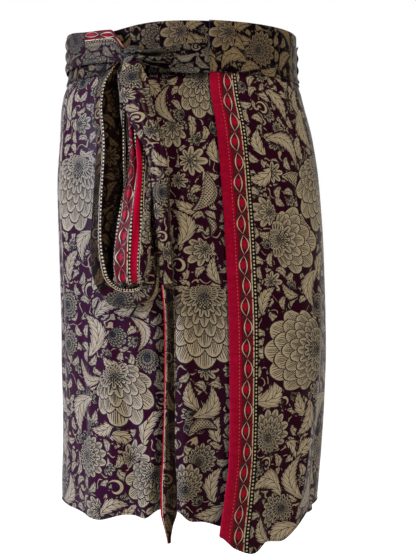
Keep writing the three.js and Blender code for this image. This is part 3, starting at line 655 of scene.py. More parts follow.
def printed_silk(name, tans=SHADED_TIE_TANS, stripes=(), stripes_from=None, grounds=GROUNDS, ink=INK):
    """Thin silk printed in dark aubergine round tan motifs with blue-black outlines, a little uneven in its
    dye, purpler along one stretch as a painted cool sheen, with slubs along both threads and a soft sheen.
    stripes is its printed border, and stripes_from the length of cloth before the border shows."""
    material, t = new_material(name)
    place = add(t, "Attribute", attribute_name="cloth")[1]
    shaken = add(t, "TexNoise", place, SHAKE_SCALE, 2.0, 0.5)[1]
    shaken = add(t, "VectorMath.SUBTRACT", shaken, (0.5, 0.5, 0.5))
    bent = add(t, "VectorMath.MULTIPLY_ADD", shaken, SHAKE_DEPTH, place)
    shake = add(t, "VectorMath.SUBTRACT", bent, place)
    u, v, _ = add(t, "SeparateXYZ", bent)

    # Small dots on a lattice, for the hearts of blooms and the inside of paisleys
    rows = add(t, "SINE", add(t, "MULTIPLY", u, DOT_WAVES))
    lines = add(t, "SINE", add(t, "MULTIPLY", v, DOT_WAVES))
    dots = add(t, "GREATER_THAN", add(t, "MULTIPLY", rows, lines), DOT_FROM)

    # Ground, with small flowers, leaves and stems scattered between the placed motifs
    cloud = add(t, "TexNoise", place, CLOUD_SCALE, 3.0, 0.55)[0]
    colour = add(t, "Mix.RGBA", cloud, linear(grounds[0]), linear(grounds[1]))
    # The purpler stretch along the cloth is a painted cool sheen, where the left front faces the cool light
    from_middle = add(t, "DIVIDE", add(t, "SUBTRACT", u, COOL_SHEEN_MIDDLE), COOL_SHEEN_HALF)
    painted_cool_sheen = add(t, "EXPONENT", add(t, "MULTIPLY", from_middle, add(t, "MULTIPLY", from_middle, -1.0)))
    ground = add(t, "Mix.RGBA", painted_cool_sheen, colour, linear(grounds[2]))
    _, chance, middle = add(t, "TexVoronoi", voronoi_dimensions="2D", named={
        "Vector": bent, "Scale": 1 / SCATTER_SPACING, "Randomness": SCATTER_FREEDOM})
    chance = add(t, "SeparateColor", chance)
    spin = add(t, "MULTIPLY", chance[0], 2 * math.pi)
    turned = add(t, "VectorRotate", add(t, "VectorMath.SUBTRACT", bent, middle), (0, 0, 0), (0, 0, 1), spin)
    x, y, _ = add(t, "SeparateXYZ", add(t, "VectorMath.SCALE", turned, named={"Scale": 1 / SCATTER_RADIUS}))
    is_sprig = add(t, "GREATER_THAN", chance[1], DAISY_SHARE)
    local = add(t, "CombineXYZ", x, y, add(t, "ADD", is_sprig, SCATTER_RADIUS * MILLIMETRE))
    layers = [(local, add(t, "Mix.VECTOR", is_sprig, DAISY_FORM, SPRIG_FORM))]
    stem = add(t, "COMPARE", add(t, "TexNoise", place, STEM_SCALE, 1.0, 0.4)[0], 0.5, STEM_HALF)
    colour = add(t, "Mix.RGBA", stem, ground, linear(tans[0]))
    for number in reversed(range(SLOTS)):
        own = add(t, "Attribute", attribute_name=f"motif{number}")[1]
        layers.append((own, add(t, "Attribute", attribute_name=f"form{number}")[1]))
    uneven = add(t, "TexNoise", place, TAN_SCALE, 2.0, 0.5)[0]
    silk = add(t, "Mix.RGBA", uneven, linear(tans[0]), linear(tans[1]))
    wave = add(t, "VectorMath.SCALE", shake, named={"Scale": SHAKE_SHARE})
    for own, form in layers:
        cover, inked, clear = add(t, "Group", node_tree=MOTIF_GROUP, named={
            "Place": add(t, "VectorMath.ADD", own, wave), "Form": form, "Dots": dots})
        drawn = add(t, "Mix.RGBA", inked, silk, linear(ink))
        colour = add(t, "Mix.RGBA", clear, colour, ground)
        colour = add(t, "Mix.RGBA", cover, colour, drawn)

    if stripes:
        striped = printed_border(t, place, colour, stripes)
        if stripes_from is None:
            colour = striped
        else:
            length = add(t, "SeparateXYZ", place)[1]
            colour = add(t, "Mix.RGBA", add(t, "GREATER_THAN", length, stripes_from), colour, striped)

    # Slubs: noise drawn out along each thread direction, as bump and as slight streaks in the dye
    weave = slubs(t, place, SLUB_LENGTH_SCALE)
    colour = add(t, "VectorMath.SCALE", colour, named={"Scale": add(t, "MapRange", weave, *STREAKS)})
    add(t, "OutputMaterial", add(t, "BsdfPrincipled", named={
        "Base Color": colour,
        "Normal": add(t, "Bump", named={"Strength": 0.35, "Distance": 0.0006, "Height": weave}),
        "Roughness": 0.4,
        "Sheen Weight": 0.012,
        "Sheen Roughness": 0.35,
        "Sheen Tint": linear("#c9c4e6"),
        "Specular IOR Level": 0.06,
    }))
    return material


def slubs(t, place, length_scale):
    """Two noises added, each drawn out along one thread direction and as fine as the threads across it."""
    across = 1 / THREAD_SPACING
    weft = add(t, "VectorMath.MULTIPLY", place, (length_scale, across, 1))
    warp = add(t, "VectorMath.MULTIPLY", place, (across, length_scale, 1))
    weft, warp = [add(t, "TexNoise", drawn_out, 1.0, 3.0, 0.6)[0] for drawn_out in (weft, warp)]
    return add(t, "ADD", weft, warp)


# Worn places in the cream lines, as a noise's scale in a millimetre and its level, and the dots' sizes
WORN_SCALE, WORN_LEVEL = 0.3, 0.40
DOT_PERIOD, DOT_RADIUS = 4.6, 1.25


def printed_border(t, place, colour, stripes):
    """The printed border over a colour, stripe by stripe from its far side in: plain crimson, a leaf band
    whose cream line swings out and in round each leaf like an almond, cream lines, and bands of dots."""
    across, v, _ = add(t, "SeparateXYZ", place)
    near_side = 0.0
    shades = []
    for far_side, kind in stripes:
        middle, half = (near_side + far_side) / 2, (far_side - near_side) / 2
        if kind == "plain":
            shade = linear(CRIMSON)
        elif kind == "line":
            worn = add(t, "GREATER_THAN", add(t, "TexNoise", place, WORN_SCALE, 1.0, 0.5)[0], WORN_LEVEL)
            shade = add(t, "Mix.RGBA", worn, linear(CRIMSON_SHADE), linear(CREAM))
        elif kind == "leaves":
            shade = leaf_band(t, across, v, middle, half)
        else:
            x = add(t, "SUBTRACT", across, middle)
            share = add(t, "FRACT", add(t, "DIVIDE", v, DOT_PERIOD))
            y = add(t, "MULTIPLY", add(t, "SUBTRACT", share, 0.5), DOT_PERIOD)
            reach = add(t, "VectorMath.LENGTH", add(t, "CombineXYZ", x, y, 0.0))
            dot = add(t, "LESS_THAN", reach, DOT_RADIUS)
            shade = add(t, "Mix.RGBA", dot, linear(BAND_BLACK), linear(CREAM))
        shades.append((far_side, shade))
        near_side = far_side
    for far_side, shade in reversed(shades):
        colour = add(t, "Mix.RGBA", add(t, "LESS_THAN", across, far_side), colour, shade)
    return colour


# The leaf band in millimetres: length of one leaf with its almond, how far leaves stand to one side and the
# other in turn, how far the almond stays from the band's sides, and its line's place and half width
LEAF_PERIOD, LEAF_SWAY, ALMOND_MARGIN, ALMOND_LINE, ALMOND_HALF = 26.0, 1.8, 2.3, 0.7, 0.75
# Vine lines outside the almond, and where its dark inside starts
VINE_LINE, VINE_HALF, ALMOND_INSIDE = -0.9, 0.7, 1.3
# The leaf itself: how far its stem end lies from the middle, its fingers in half a turn round it, what they
# add to its reach and that reach, what its top adds, its line's half width, and the gap drawn as a line
LEAF_BASE, FINGERS, FINGER_REACH, TOP_REACH, LEAF_LINE, FINGER_GAP = 2.5, 3.0, (3.2, 3.0), 1.9, 0.7, 0.2
# Buds between the almonds: distance from the band's side, squeeze lengthwise, radius and their half line
BUD_INSET, BUD_SQUEEZE, BUD_RADIUS, BUD_HALF = 3.0, 0.6, 2.0, 0.6


def leaf_band(t, across, v, middle, half):
    """One stripe of leaves: deep red, with an almond of cream line round each leaf, dark inside it, the leaf
    itself crimson with fingers given by a cosine round it, and dark vine lines outside the almonds."""
    share = add(t, "SUBTRACT", add(t, "FRACT", add(t, "DIVIDE", v, LEAF_PERIOD)), 0.5)
    sway = add(t, "SINE", add(t, "MULTIPLY", v, math.pi / LEAF_PERIOD))
    offset = add(t, "SUBTRACT", add(t, "MULTIPLY_ADD", sway, -LEAF_SWAY, across), middle)
    side = add(t, "ABSOLUTE", offset)
    bulge = add(t, "COSINE", add(t, "MULTIPLY", share, math.pi))
    swing = add(t, "SUBTRACT", add(t, "MULTIPLY", bulge, half - ALMOND_MARGIN), side)
    cream = add(t, "COMPARE", swing, ALMOND_LINE, add(t, "MULTIPLY", bulge, ALMOND_HALF))
    vine = add(t, "COMPARE", swing, VINE_LINE, VINE_HALF)

    # A leaf with fingers: its reach swells with each of them, and most at the top
    lengthwise = add(t, "ADD", add(t, "MULTIPLY", share, LEAF_PERIOD), LEAF_BASE)
    bearing = add(t, "ARCTAN2", side, lengthwise)
    fingers = add(t, "ABSOLUTE", add(t, "COSINE", add(t, "MULTIPLY", bearing, FINGERS)))
    size = add(t, "MULTIPLY_ADD", fingers, *FINGER_REACH)
    size = add(t, "MULTIPLY_ADD", add(t, "COSINE", bearing), TOP_REACH, size)
    reach = add(t, "VectorMath.LENGTH", add(t, "CombineXYZ", side, lengthwise, 0.0))
    leaf = add(t, "LESS_THAN", reach, size)
    gaps = add(t, "LESS_THAN", fingers, FINGER_GAP)
    leaf_line = add(t, "MAXIMUM", add(t, "COMPARE", reach, size, LEAF_LINE), gaps)
    inside = add(t, "GREATER_THAN", swing, ALMOND_INSIDE)

    # Between the almonds stands a small dark bud at each side
    between = add(t, "SUBTRACT", 0.5, add(t, "ABSOLUTE", share))
    bud_across = add(t, "SUBTRACT", side, half - BUD_INSET)
    bud_along = add(t, "MULTIPLY", between, LEAF_PERIOD * BUD_SQUEEZE)
    bud = add(t, "VectorMath.LENGTH", add(t, "CombineXYZ", bud_across, bud_along, 0.0))
    bud = add(t, "COMPARE", bud, BUD_RADIUS, BUD_HALF)
    band = add(t, "Mix.RGBA", inside, linear(CRIMSON_DEEP), linear(CRIMSON_SHADE))
    band = add(t, "Mix.RGBA", add(t, "MULTIPLY", leaf, inside), band, linear(CRIMSON))
    band = add(t, "Mix.RGBA", add(t, "MULTIPLY", leaf_line, inside), band, linear(INK))
    band = add(t, "Mix.RGBA", add(t, "MAXIMUM", vine, bud), band, linear(INK))
    return add(t, "Mix.RGBA", cream, band, linear(CREAM))


panel_silk = printed_silk("printed_silk_with_edge_border", PANEL_TANS, EDGE_STRIPES)
arc = np.linspace(0, ARC_LENGTHS[-1], PANEL_COLUMNS + 1)
down = np.linspace(0, 1, PANEL_ROWS + 1)
angle_grid, down_grid = np.meshgrid(np.interp(arc, ARC_LENGTHS, ARC_ANGLES), down, indexing="ij")
panel_grid = panel_points(angle_grid, down_grid)
panel_cloth = np.dstack([np.repeat(arc[:, None], PANEL_ROWS + 1, axis=1), SEAM_LEVEL - panel_grid[..., 2]])
panel = grid_mesh("silk_panel", panel_grid, panel_cloth, CLOTH_WALL, [panel_silk])
put_print(panel, panel_cloth, stamps_on_panel())
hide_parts("wrap_panel")


# The turned hem: the panel's lower edge turned up 7 mm inside and round the edge, in the same printed silk.
# It is sewn with short stitches in dark thread, which show outside as a fine broken line.

HEM_TURN, HEM_ROLL, HEM_WALL = 7.0, 0.75, 0.5
HEM_ROWS = 12
# Shares of the turned cloth at which the roll starts and ends, and how far it reaches up the outside
ROLL_STARTS, ROLL_ENDS, OUTER_END = 0.35, 0.85, 1.5
STITCH_LENGTH, STITCH_GAP = 2.6, 1.9
HEM_STITCH_UP, HEM_STITCH_RADIUS, HEM_STITCH_LIFT = 6.0, 0.22, 0.1
# How high a stitch's two ends lie, as a share of its middle's height
STITCH_END_HEIGHT = 0.4


def stitch_row(name, line, normals, radius, lift, material):
    """A row of stitches along a line of points: each a spindle with four sides, as long as a stitch, lying on
    the cloth, one every stitch and gap."""
    steps = np.linalg.norm(np.diff(line, axis=0), axis=1)
    length = np.concatenate([[0], np.cumsum(steps)])
    starts = np.arange(STITCH_GAP, length[-1] - STITCH_LENGTH, STITCH_LENGTH + STITCH_GAP)

    def at(distance, table):
        """The table's values at each distance along the line, straight between its points."""
        return np.stack([np.interp(distance, length, table[:, axis]) for axis in range(3)], axis=1)

    near, far = at(starts, line), at(starts + STITCH_LENGTH, line)
    up = at(starts + STITCH_LENGTH / 2, normals)
    side = np.cross(far - near, up)
    side /= np.linalg.norm(side, axis=1, keepdims=True)
    middle = (near + far) / 2 + up * lift
    ring = [middle + side * radius, middle + up * radius, middle - side * radius, middle - up * radius]
    low = up * lift * STITCH_END_HEIGHT
    vertices = np.stack([near + low, *ring, far + low], axis=1).reshape(-1, 3)
    faces = np.array([(0, k, k % 4 + 1) for k in (1, 2, 3, 4)] + [(5, k % 4 + 1, k) for k in (1, 2, 3, 4)])
    faces = (faces[None] + 6 * np.arange(len(starts))[:, None, None]).reshape(-1, 3)
    mesh = bpy.data.meshes.new(name)
    mesh.from_pydata((vertices * MILLIMETRE).tolist(), [], faces.tolist())
    mesh.shade_smooth()
    mesh.materials.append(material)
    piece = bpy.data.objects.new(name, mesh)
    bpy.context.scene.collection.objects.link(piece)
    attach(piece, "root")
    return piece


# The thread's twist as a noise scale in a metre, and the shade between its plies as a share of its colour
THREAD_TWIST_SCALE, THREAD_SHADE = 900.0, 0.6


def thread(name, code):
    """Sewing thread: two twisted plies, so a matt colour a little uneven along its length."""
    material, t = new_material(name)
    twist = add(t, "TexNoise", add(t, "TexCoord")[3], THREAD_TWIST_SCALE, 2.0, 0.5)[0]
    dark = tuple(THREAD_SHADE * part for part in linear(code)[:3]) + (1.0,)
    add(t, "OutputMaterial", add(t, "BsdfPrincipled", named={
        "Base Color": add(t, "Mix.RGBA", twist, dark, linear(code)),
        "Roughness": 0.7,
    }))
    return material


dark_thread, tan_thread = thread("dark_sewing_thread", "#2b1a22"), thread("tan_sewing_thread", "#b98a52")
turned = np.linspace(0, 1, HEM_ROWS + 1)
roll_angle = smooth(turned, ROLL_STARTS, ROLL_ENDS) * math.pi
up_inside = np.where(turned < ROLL_STARTS, HEM_TURN * (1 - turned / ROLL_STARTS), 0)
up_outside = np.where(turned > ROLL_ENDS, OUTER_END * (turned - ROLL_ENDS) / (1 - ROLL_ENDS), 0)
down_mm = HEM_ROLL * np.sin(roll_angle) - up_inside - up_outside
out_mm = -HEM_ROLL * np.cos(roll_angle)
arc_angle = np.interp(arc, ARC_LENGTHS, ARC_ANGLES)
hem_angle = np.repeat(arc_angle[:, None], HEM_ROWS + 1, axis=1)
hem_length = -through(HEM["angle"], HEM["z"], hem_angle) + SEAM_LEVEL
hem_grid = panel_points(hem_angle, 1 + down_mm / hem_length, out_mm)
hem_cloth = np.dstack([np.repeat(arc[:, None], HEM_ROWS + 1, axis=1), hem_length + down_mm])
hem = grid_mesh("turned_hem", hem_grid, hem_cloth, HEM_WALL, [panel_silk])
put_print(hem, hem_cloth, stamps_on_panel())
hem_line = panel_points(arc_angle, 1 - HEM_STITCH_UP / hem_length[:, 0], CLOTH_WALL / 2)
hem_normals = on_outline(arc_angle, hem_grid[:, 0, 2], 1.0) - on_outline(arc_angle, hem_grid[:, 0, 2], 0.0)
hem_stitches = stitch_row(
    "hem_stitches", hem_line, hem_normals, HEM_STITCH_RADIUS, HEM_STITCH_LIFT, dark_thread)


# The binding of the free edge: a plain crimson strip 15 mm wide of the same thin silk, folded round the edge
# from the inside and sewn down with a line of tan machine stitches near its inner side.

BINDING_WIDTH, BINDING_INSIDE, BINDING_OUT, BINDING_WALL = 15.0, 9.0, 0.72, 0.5
BINDING_COLUMNS = 26
# Shares of the strip at which its inside ends, its fold starts and turns over, its outside starts and its
# fold ends, and how far the fold stands past the panel's edge
INSIDE_END, FOLD_START, FOLD_TURN, OUTSIDE_START, FOLD_END = 0.36, 0.34, 0.40, 0.44, 0.46
FOLD_PAST = 0.8
# Where the strip lies on its own flat cloth, so that its weave isn't that of the panel's edge
BINDING_PLACE = 20.0
STITCH_LINE = 12.0
SEAM_STITCH_RADIUS, SEAM_STITCH_LIFT, SEAM_STITCH_OUT = 0.42, 0.22, 0.3
BESIDE_EDGE = 40
DEGREES_PER_MM = (ARC_ANGLES[BESIDE_EDGE] - ARC_ANGLES[0]) / (ARC_LENGTHS[BESIDE_EDGE] - ARC_LENGTHS[0])
# Slubs of the plain silk, and its puckers: noise scales in a millimetre along and across, how much they count
# in the surface's height, and the sums of both between which the colour goes from deep to light; the puckers'
# share of that is painted shade, deeper in their hollows and lighter on their tops
PLAIN_SLUB_SCALE, PUCKER_SCALES, PUCKER_HEIGHT = 0.10, (0.05, 0.16, 1), 3.0
SLUB_AND_PUCKER_SHADE_TONES = (1.15, 1.85, 0.0, 1.0)


def plain_silk(name, code, light):
    """Plain dyed thin silk: a strong even colour, lighter along slubs that run both ways, with painted shade
    that is deeper in the hollows of its puckers and lighter on their tops, a satin sheen and small puckers
    from the sewing. Its threads are drawn as coarse as the printed silk's."""
    material, t = new_material(name)
    place = add(t, "Attribute", attribute_name="cloth")[1]
    weave = slubs(t, place, PLAIN_SLUB_SCALE)
    pucker = add(t, "TexNoise", add(t, "VectorMath.MULTIPLY", place, PUCKER_SCALES), 1.0, 2.0, 0.5)[0]
    slub_tone_and_pucker_shade = add(t, "MapRange", add(t, "ADD", weave, pucker), *SLUB_AND_PUCKER_SHADE_TONES)
    height = add(t, "MULTIPLY_ADD", pucker, PUCKER_HEIGHT, weave)
    add(t, "OutputMaterial", add(t, "BsdfPrincipled", named={
        "Base Color": add(t, "Mix.RGBA", slub_tone_and_pucker_shade, linear(code), linear(light)),
        "Normal": add(t, "Bump", named={"Strength": 0.4, "Distance": 0.0008, "Height": height}),
        "Roughness": 0.48,
        "Sheen Weight": 0.02,
        "Sheen Tint": linear("#ff9db0"),
        "Specular IOR Level": 0.05,
    }))
    return material


crimson_silk = plain_silk("plain_crimson_silk", "#7c0422", "#9a0a30")
share = np.linspace(0, 1, BINDING_COLUMNS + 1)
round_edge = smooth(share, FOLD_START, FOLD_END) * math.pi
across_mm = np.where(share < FOLD_TURN, BINDING_INSIDE * np.clip(1 - share / INSIDE_END, 0, 1), 0)
across_mm = across_mm + BINDING_WIDTH * np.clip((share - OUTSIDE_START) / (1 - OUTSIDE_START), 0, 1)
across_mm -= FOLD_PAST * np.sin(round_edge)
binding_angle = FREE_EDGE_ANGLE + across_mm * DEGREES_PER_MM
binding_angle, binding_down = np.meshgrid(binding_angle, down, indexing="ij")
binding_out = np.repeat(-BINDING_OUT * np.cos(round_edge)[:, None], PANEL_ROWS + 1, axis=1)
binding_grid = panel_points(binding_angle, binding_down, binding_out)
binding_across = np.repeat(across_mm[:, None] + BINDING_PLACE, PANEL_ROWS + 1, axis=1)
binding_cloth = np.dstack([binding_across, SEAM_LEVEL - binding_grid[..., 2]])
binding = grid_mesh("edge_binding", binding_grid, binding_cloth, BINDING_WALL, [crimson_silk])
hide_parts("edge_band")
seam_angle = np.full(PANEL_ROWS + 1, FREE_EDGE_ANGLE + STITCH_LINE * DEGREES_PER_MM)
seam_line = panel_points(seam_angle, down, BINDING_OUT + SEAM_STITCH_OUT)
seam_normals = panel_points(seam_angle, down, BINDING_OUT + SEAM_STITCH_OUT + 1) - seam_line
binding_stitches = stitch_row(
    "binding_stitches", seam_line, seam_normals, SEAM_STITCH_RADIUS, SEAM_STITCH_LIFT, tan_thread)


# The waistband: two plies of the printed silk, 66 mm high, folded along the top and sewn to the panel along
# the bottom. It is as long as the panel and goes round with it, and soft creases lie along it where it bends.

BAND_COLUMNS, BAND_ROWS = 300, 44
# How far each ply lies from the band's middle, the band's middle from the body, and its cloth's wall
PLY_OUT, BAND_PROUD, BAND_WALL = 0.85, 0.9, 0.6
BAND_MM_PER_DEGREE = 2.4
# Shares of the two plies' height at which the inner ply ends and the outer one starts, and their fold
INNER_PLY_END, OUTER_PLY_START, TOP_FOLD = 0.48, 0.52, (0.46, 0.54)
# Where the tie pulls the band's upper edge down, in degrees round and millimetres
BAND_DIP = {"angle": 318.0, "half": 20.0, "depth": 11.0}
# Soft creases along the band: angle, height, half height and half length in millimetres, how far it stands
# out, and its lean from level in degrees
BAND_CREASES = (
    (10, -20, 3.5, 30, -1.0, 4), (24, -14, 4, 26, 1.0, -3), (40, -30, 5, 34, -0.9, 3),
    (62, -22, 5, 36, 1.0, 0), (48, -52, 4, 40, -0.8, -2), (80, -40, 6, 34, -0.8, 2),
    (356, -24, 4, 26, 0.9, 6), (345, -16, 3.5, 24, -0.9, -4), (20, -58, 4, 36, 0.8, 2),
    (330, -20, 4, 24, 0.8, 5), (120, -60, 3, 40, 0.6, 0), (200, -60, 3, 40, -0.6, 0),
)
# The band's own print, in the same form as the panel's
BAND_PRINT = (
    ("aster", 173, 33, 22, 200), ("leaf", 193, 26, 18, 30), ("daisy", 200, 51, 16, 0),
    ("acanthus", 184, 44, 20, 190), ("peony", 150, 34, 18, 160), ("leaf", 216, 40, 20, 340),
    ("mum", 262, 48, 24, 20), ("leaf", 240, 36, 20, 160), ("acanthus", 232, 60, 22, 200),
    ("leaf", 284, 60, 20, 40), ("frond", 284, 38, 22, 320), ("daisy", 222, 26, 14, 0),
    ("leaf", 250, 68, 18, 10), ("sprig", 244, 22, 15, 60), ("daisy", 296, 56, 15, 0),
    ("leaf", 268, 70, 18, 190), ("sprig", 210, 66, 15, 270), ("curl", 226, 46, 10, 0),
    ("leaf", 178, 60, 18, 340), ("sprig", 160, 50, 14, 120), ("acanthus", 120, 44, 20, 20),
    ("mum", 98, 50, 20, 0), ("leaf", 80, 55, 18, 90), ("daisy", 140, 60, 14, 0),
)

BAND_REPEATS = 4


def stamps_on_band():
    """The band's own motifs at the front, then the same again a repeat apart all the way round."""
    stamps = []
    for motif, x_pixel, y_pixel, size, turn in BAND_PRINT:
        angle, below = on_cloth(x_pixel, y_pixel)
        place = np.interp(angle if angle > FREE_EDGE_ANGLE else angle + 360, ARC_ANGLES, ARC_LENGTHS)
        for number in range(-BAND_REPEATS, BAND_REPEATS + 1):
            stamps.append((motif, place + number * PRINT_REPEAT, below, size, turn))
    return largest_first(stamps)


band_silk = printed_silk("printed_silk_two_plies", BAND_TANS, grounds=BAND_GROUNDS)
band_arc, share = np.linspace(0, ARC_LENGTHS[-1], BAND_COLUMNS + 1), np.linspace(0, 1, BAND_ROWS + 1)
over = smooth(share, *TOP_FOLD) * math.pi
inner_ply, outer_ply = 1 - share / INNER_PLY_END, (share - OUTER_PLY_START) / (1 - OUTER_PLY_START)
below_top = np.where(share < 0.5, inner_ply, outer_ply).clip(0, 1)
band_z = PLY_OUT * np.sin(over) - PLY_OUT - BAND_HEIGHT * below_top
band_angle = np.repeat(np.interp(band_arc, ARC_LENGTHS, ARC_ANGLES)[:, None], BAND_ROWS + 1, axis=1)
band_dip = BAND_DIP["depth"] * np.exp(-((band_angle - BAND_DIP["angle"]) / BAND_DIP["half"]) ** 2)
band_z = band_z - band_dip * (1 + band_z / BAND_HEIGHT)
band_out = layer_out(band_angle) + BAND_PROUD - PLY_OUT * np.cos(over)
band_out = band_out + crease_out(BAND_CREASES, BAND_MM_PER_DEGREE, band_angle, band_z)
band_grid = on_outline(band_angle, band_z, band_out)
band_cloth = np.dstack([np.interp(band_angle, ARC_ANGLES, ARC_LENGTHS), SEAM_LEVEL - band_z])
band = grid_mesh("waist_band", band_grid, band_cloth, BAND_WALL, [band_silk])
put_print(band, band_cloth, stamps_on_band())
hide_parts("waistband")


# The ties and the bow: long strips of the printed silk, 60 mm wide with a border along one side, hemmed, and
# gathered lengthwise into soft pleats. One goes round the back from the band's slit at the right side, the
# other runs on from the band's outer end, and they are tied at the left in a bow of two loops and two tails.

TIE_CLOTH_WALL, TIE_WIDTH, TIE_HEM = 0.55, 60.0, 6.0
KNOT = {"x": -66, "out": 19, "z": -50, "half_width": 14, "half_out": 10, "half_height": 14}
# A round tie lies this far out from the skirt before its gathers, over the band's two plies, and at the knot
OVER_BAND, OUT_TO_KNOT = 5.0, 10.0
TIE_AROUND = {
    "angle": (97, 150, 200, 250, 285, 310, 325, 334, 340),
    "top": (-8, -4, -5, -2, -2, -8, -10, -34, -42),
    "bottom": (-58, -56, -55, -52, -50, -50, -52, -57, -60),
}
TIE_OVER = {
    "angle": (13.2, 4, -4, -12, -19),
    "top": (-31, -32, -36, -42, -44),
    "bottom": (-70, -71, -69, -64, -58),
}
# Strips that hang from the knot, a row for each place along them: x, distance out from the skirt, height,
# width as it hangs, turn of the width in degrees, and height of the pleats
LOOP_OUTER = (
    (-84, 18, -55, 12, -40, 1), (-97, 19, -72, 28, -34, 2), (-102, 21, -110, 42, -28, 3),
    (-98, 22, -165, 45, -27, 4), (-101, 23, -235, 47, -30, 4.5), (-104, 24, -300, 46, -46, 4),
    (-99, 25, -340, 42, -72, 0), (-80, 25, -357, 30, -90, -7), (-48, 24, -354, 30, -100, -7),
    (-36, 18, -325, 24, -108, -1), (-42, 14, -245, 15, -112, 2.5), (-50, 13, -170, 12, -120, 2),
    (-56, 13, -105, 10, -140, 1.5), (-60, 14.5, -60, 7, -160, 1),
)
LOOP_INNER = (
    (-68, 22, -60, 10, 0, 1), (-66, 24, -85, 14, 0, 2), (-59, 28, -130, 19, 0, 2), (-55, 31, -185, 26, 2, 3),
    (-57, 37, -240, 34, 3, 3), (-60, 40, -295, 40, 2, 3), (-61, 38, -325, 38, 0, 2),
    (-62, 30, -336, 35, 0, 1.5), (-62, 22, -326, 28, 0, 2), (-63, 18, -285, 21, 0, 2.5),
    (-65, 18, -210, 16, 0, 2.5), (-69, 17, -130, 12, 0, 2), (-68, 17, -62, 9, 0, 1),
)
TAIL_LONG = (
    (-65, 27, -60, 20, 8, 1.5), (-60, 35, -88, 31, 8, 2), (-51, 38.5, -125, 28, 10, 2.5),
    (-33, 36.5, -180, 20, 10, 2.5), (-28, 32, -245, 16, 6, 2.5), (-24, 22, -320, 14, 4, 2),
    (-21, 16, -380, 12, 0, 2), (-21, 16, -460, 12, 0, 2), (-22, 18, -540, 13, 0, 2),
    (-22, 19, -590, 18, 0, 2), (-22, 19, -618, 18, 0, 1.5), (-22.5, 19, -638, 9, 0, 1),
    (-21.5, 19, -657, 3, 0, 0.4),
)
TAIL_SHORT = (
    (-71, 13.5, -60, 7, 0, 0.8), (-72, 10, -85, 9, 0, 1.2), (-74, 7, -120, 13, -3, 1.5),
    (-75, 6.5, -170, 16, -3, 1.8), (-76, 6.5, -235, 18, -3, 1.8), (-74, 7, -275, 10, -3, 1),
)
# A spray of motifs for the ties, in millimetres across and along the cloth, repeated along it
TIE_PRINT = (
    ("mum", 20, 22, 19, 0), ("peony", 58, 60, 22, 200), ("leaf", 44, 20, 16, 60),
    ("acanthus", 22, 58, 18, 100), ("aster", 24, 96, 17, 0), ("paisley", 58, 104, 19, 260),
    ("leaf", 40, 84, 15, 320), ("sprig", 70, 30, 14, 90), ("daisy", 42, 128, 14, 0),
    ("leaf", 14, 130, 15, 120), ("frond", 68, 138, 18, 80), ("curl", 8, 76, 9, 0), ("leaf", 74, 84, 14, 260),
    ("sprig", 40, 44, 12, 200), ("daisy", 6, 44, 11, 0),
)
TIE_REPEAT = 150.0
# Gathers: they lie flatter by this share where a tie is between these widths or wider, and their tops are
# drawn wide by at most this bunching
SLACK_SHARE, SLACK_WIDTHS, MOST_BUNCHED = 0.65, (20, 38), 1.8
# Each wave by which gathers drift along a tie: how far, how often in its length, and times its own seed
DRIFTS = ((1.4, 1.7, 1), (0.8, 4.1, 2))
# How much of a gather's depth is the same everywhere, and the waves of the rest across and along the tie
STEADY_DEPTH, DEPTH_WAVES = 0.8, (7, 3)
# The flap turned back along a loop: the share of the width it takes, its fold's roundness, how far past its
# own width it lies over the rest, and the widths of the loop over which it opens
FLAP_SHARE, FLAP_ROUND, FLAP_OVER, FLAP_WIDTHS = 0.3, 0.05, 1.75, (12, 30)
# The step along a centre line, as a share of it, over which its direction is taken
DIRECTION_STEP = 1e-4
# A tie folded in three: a layer's width, the distance between layers, how sharp its folds are, its ripples
LAYER_WIDTH, LAYER_GAP, FOLD_SHARPNESS, RIPPLE = 21.0, 2.3, 0.97, 0.55


def on_front(x, out, z):
    """A point at the front of the skirt from its x, distance out and height."""
    middle, half_width, _ = outline_at(z)
    return on_outline(np.degrees(np.arcsin((x - middle) / half_width)), z, out)


def smooth_line(points, u):
    """A centripetal Catmull-Rom curve through points, u from 0 to 1, each span with an equal share of u."""
    rows = np.vstack([2 * points[0] - points[1], points, 2 * points[-1] - points[-2]])
    spans = u * (len(points) - 1)
    i = np.clip(np.floor(spans).astype(int), 0, len(points) - 2)
    t = (spans - i)[:, None]
    before, start, end, after = rows[i], rows[i + 1], rows[i + 2], rows[i + 3]
    first, second, third = [np.sqrt(np.linalg.norm(b - a, axis=1))[:, None]
                            for a, b in ((before, start), (start, end), (end, after))]
    leave = ((start - before) / first - (end - before) / (first + second) + (end - start) / second) * second
    arrive = ((end - start) / second - (after - start) / (second + third) + (after - end) / third) * second
    return ((2 * t**3 - 3 * t**2 + 1) * start + (t**3 - 2 * t**2 + t) * leave
            + (3 * t**2 - 2 * t**3) * end + (t**3 - t**2) * arrive)


def gather_depth(width, count):
    """How deep each of a count of gathers is where the tie is squeezed to a width: the gathers' slopes take
    up the rest of the cloth, as in a zigzag of that width and length, and slacker where the tie lies wide."""
    zigzag = np.sqrt(np.maximum(TIE_WIDTH**2 - width**2, 0)) / (4 * count)
    return zigzag * (1 - SLACK_SHARE * smooth(width, *SLACK_WIDTHS))


def in_three(v, wide, pleat, phase):
    """A strip folded lengthwise in three: across it runs left to right, back and on again, as a triangle wave
    with rounded folds. Its free edge lies outermost, each layer arches, and fine ripples run along it."""
    swing = -np.arcsin(FOLD_SHARPNESS * np.sin(3 * math.pi * (v - 0.5))) / math.asin(FOLD_SHARPNESS)
    layer = np.minimum(wide, LAYER_WIDTH)[:, None]
    across = 0.5 * layer * swing + (wide[:, None] - layer) * (v - 0.5)
    arch = pleat[:, None] * np.cos(0.5 * math.pi * swing)
    return across, 3 * LAYER_GAP * (v - 0.5) - arch + RIPPLE * np.cos(phase)


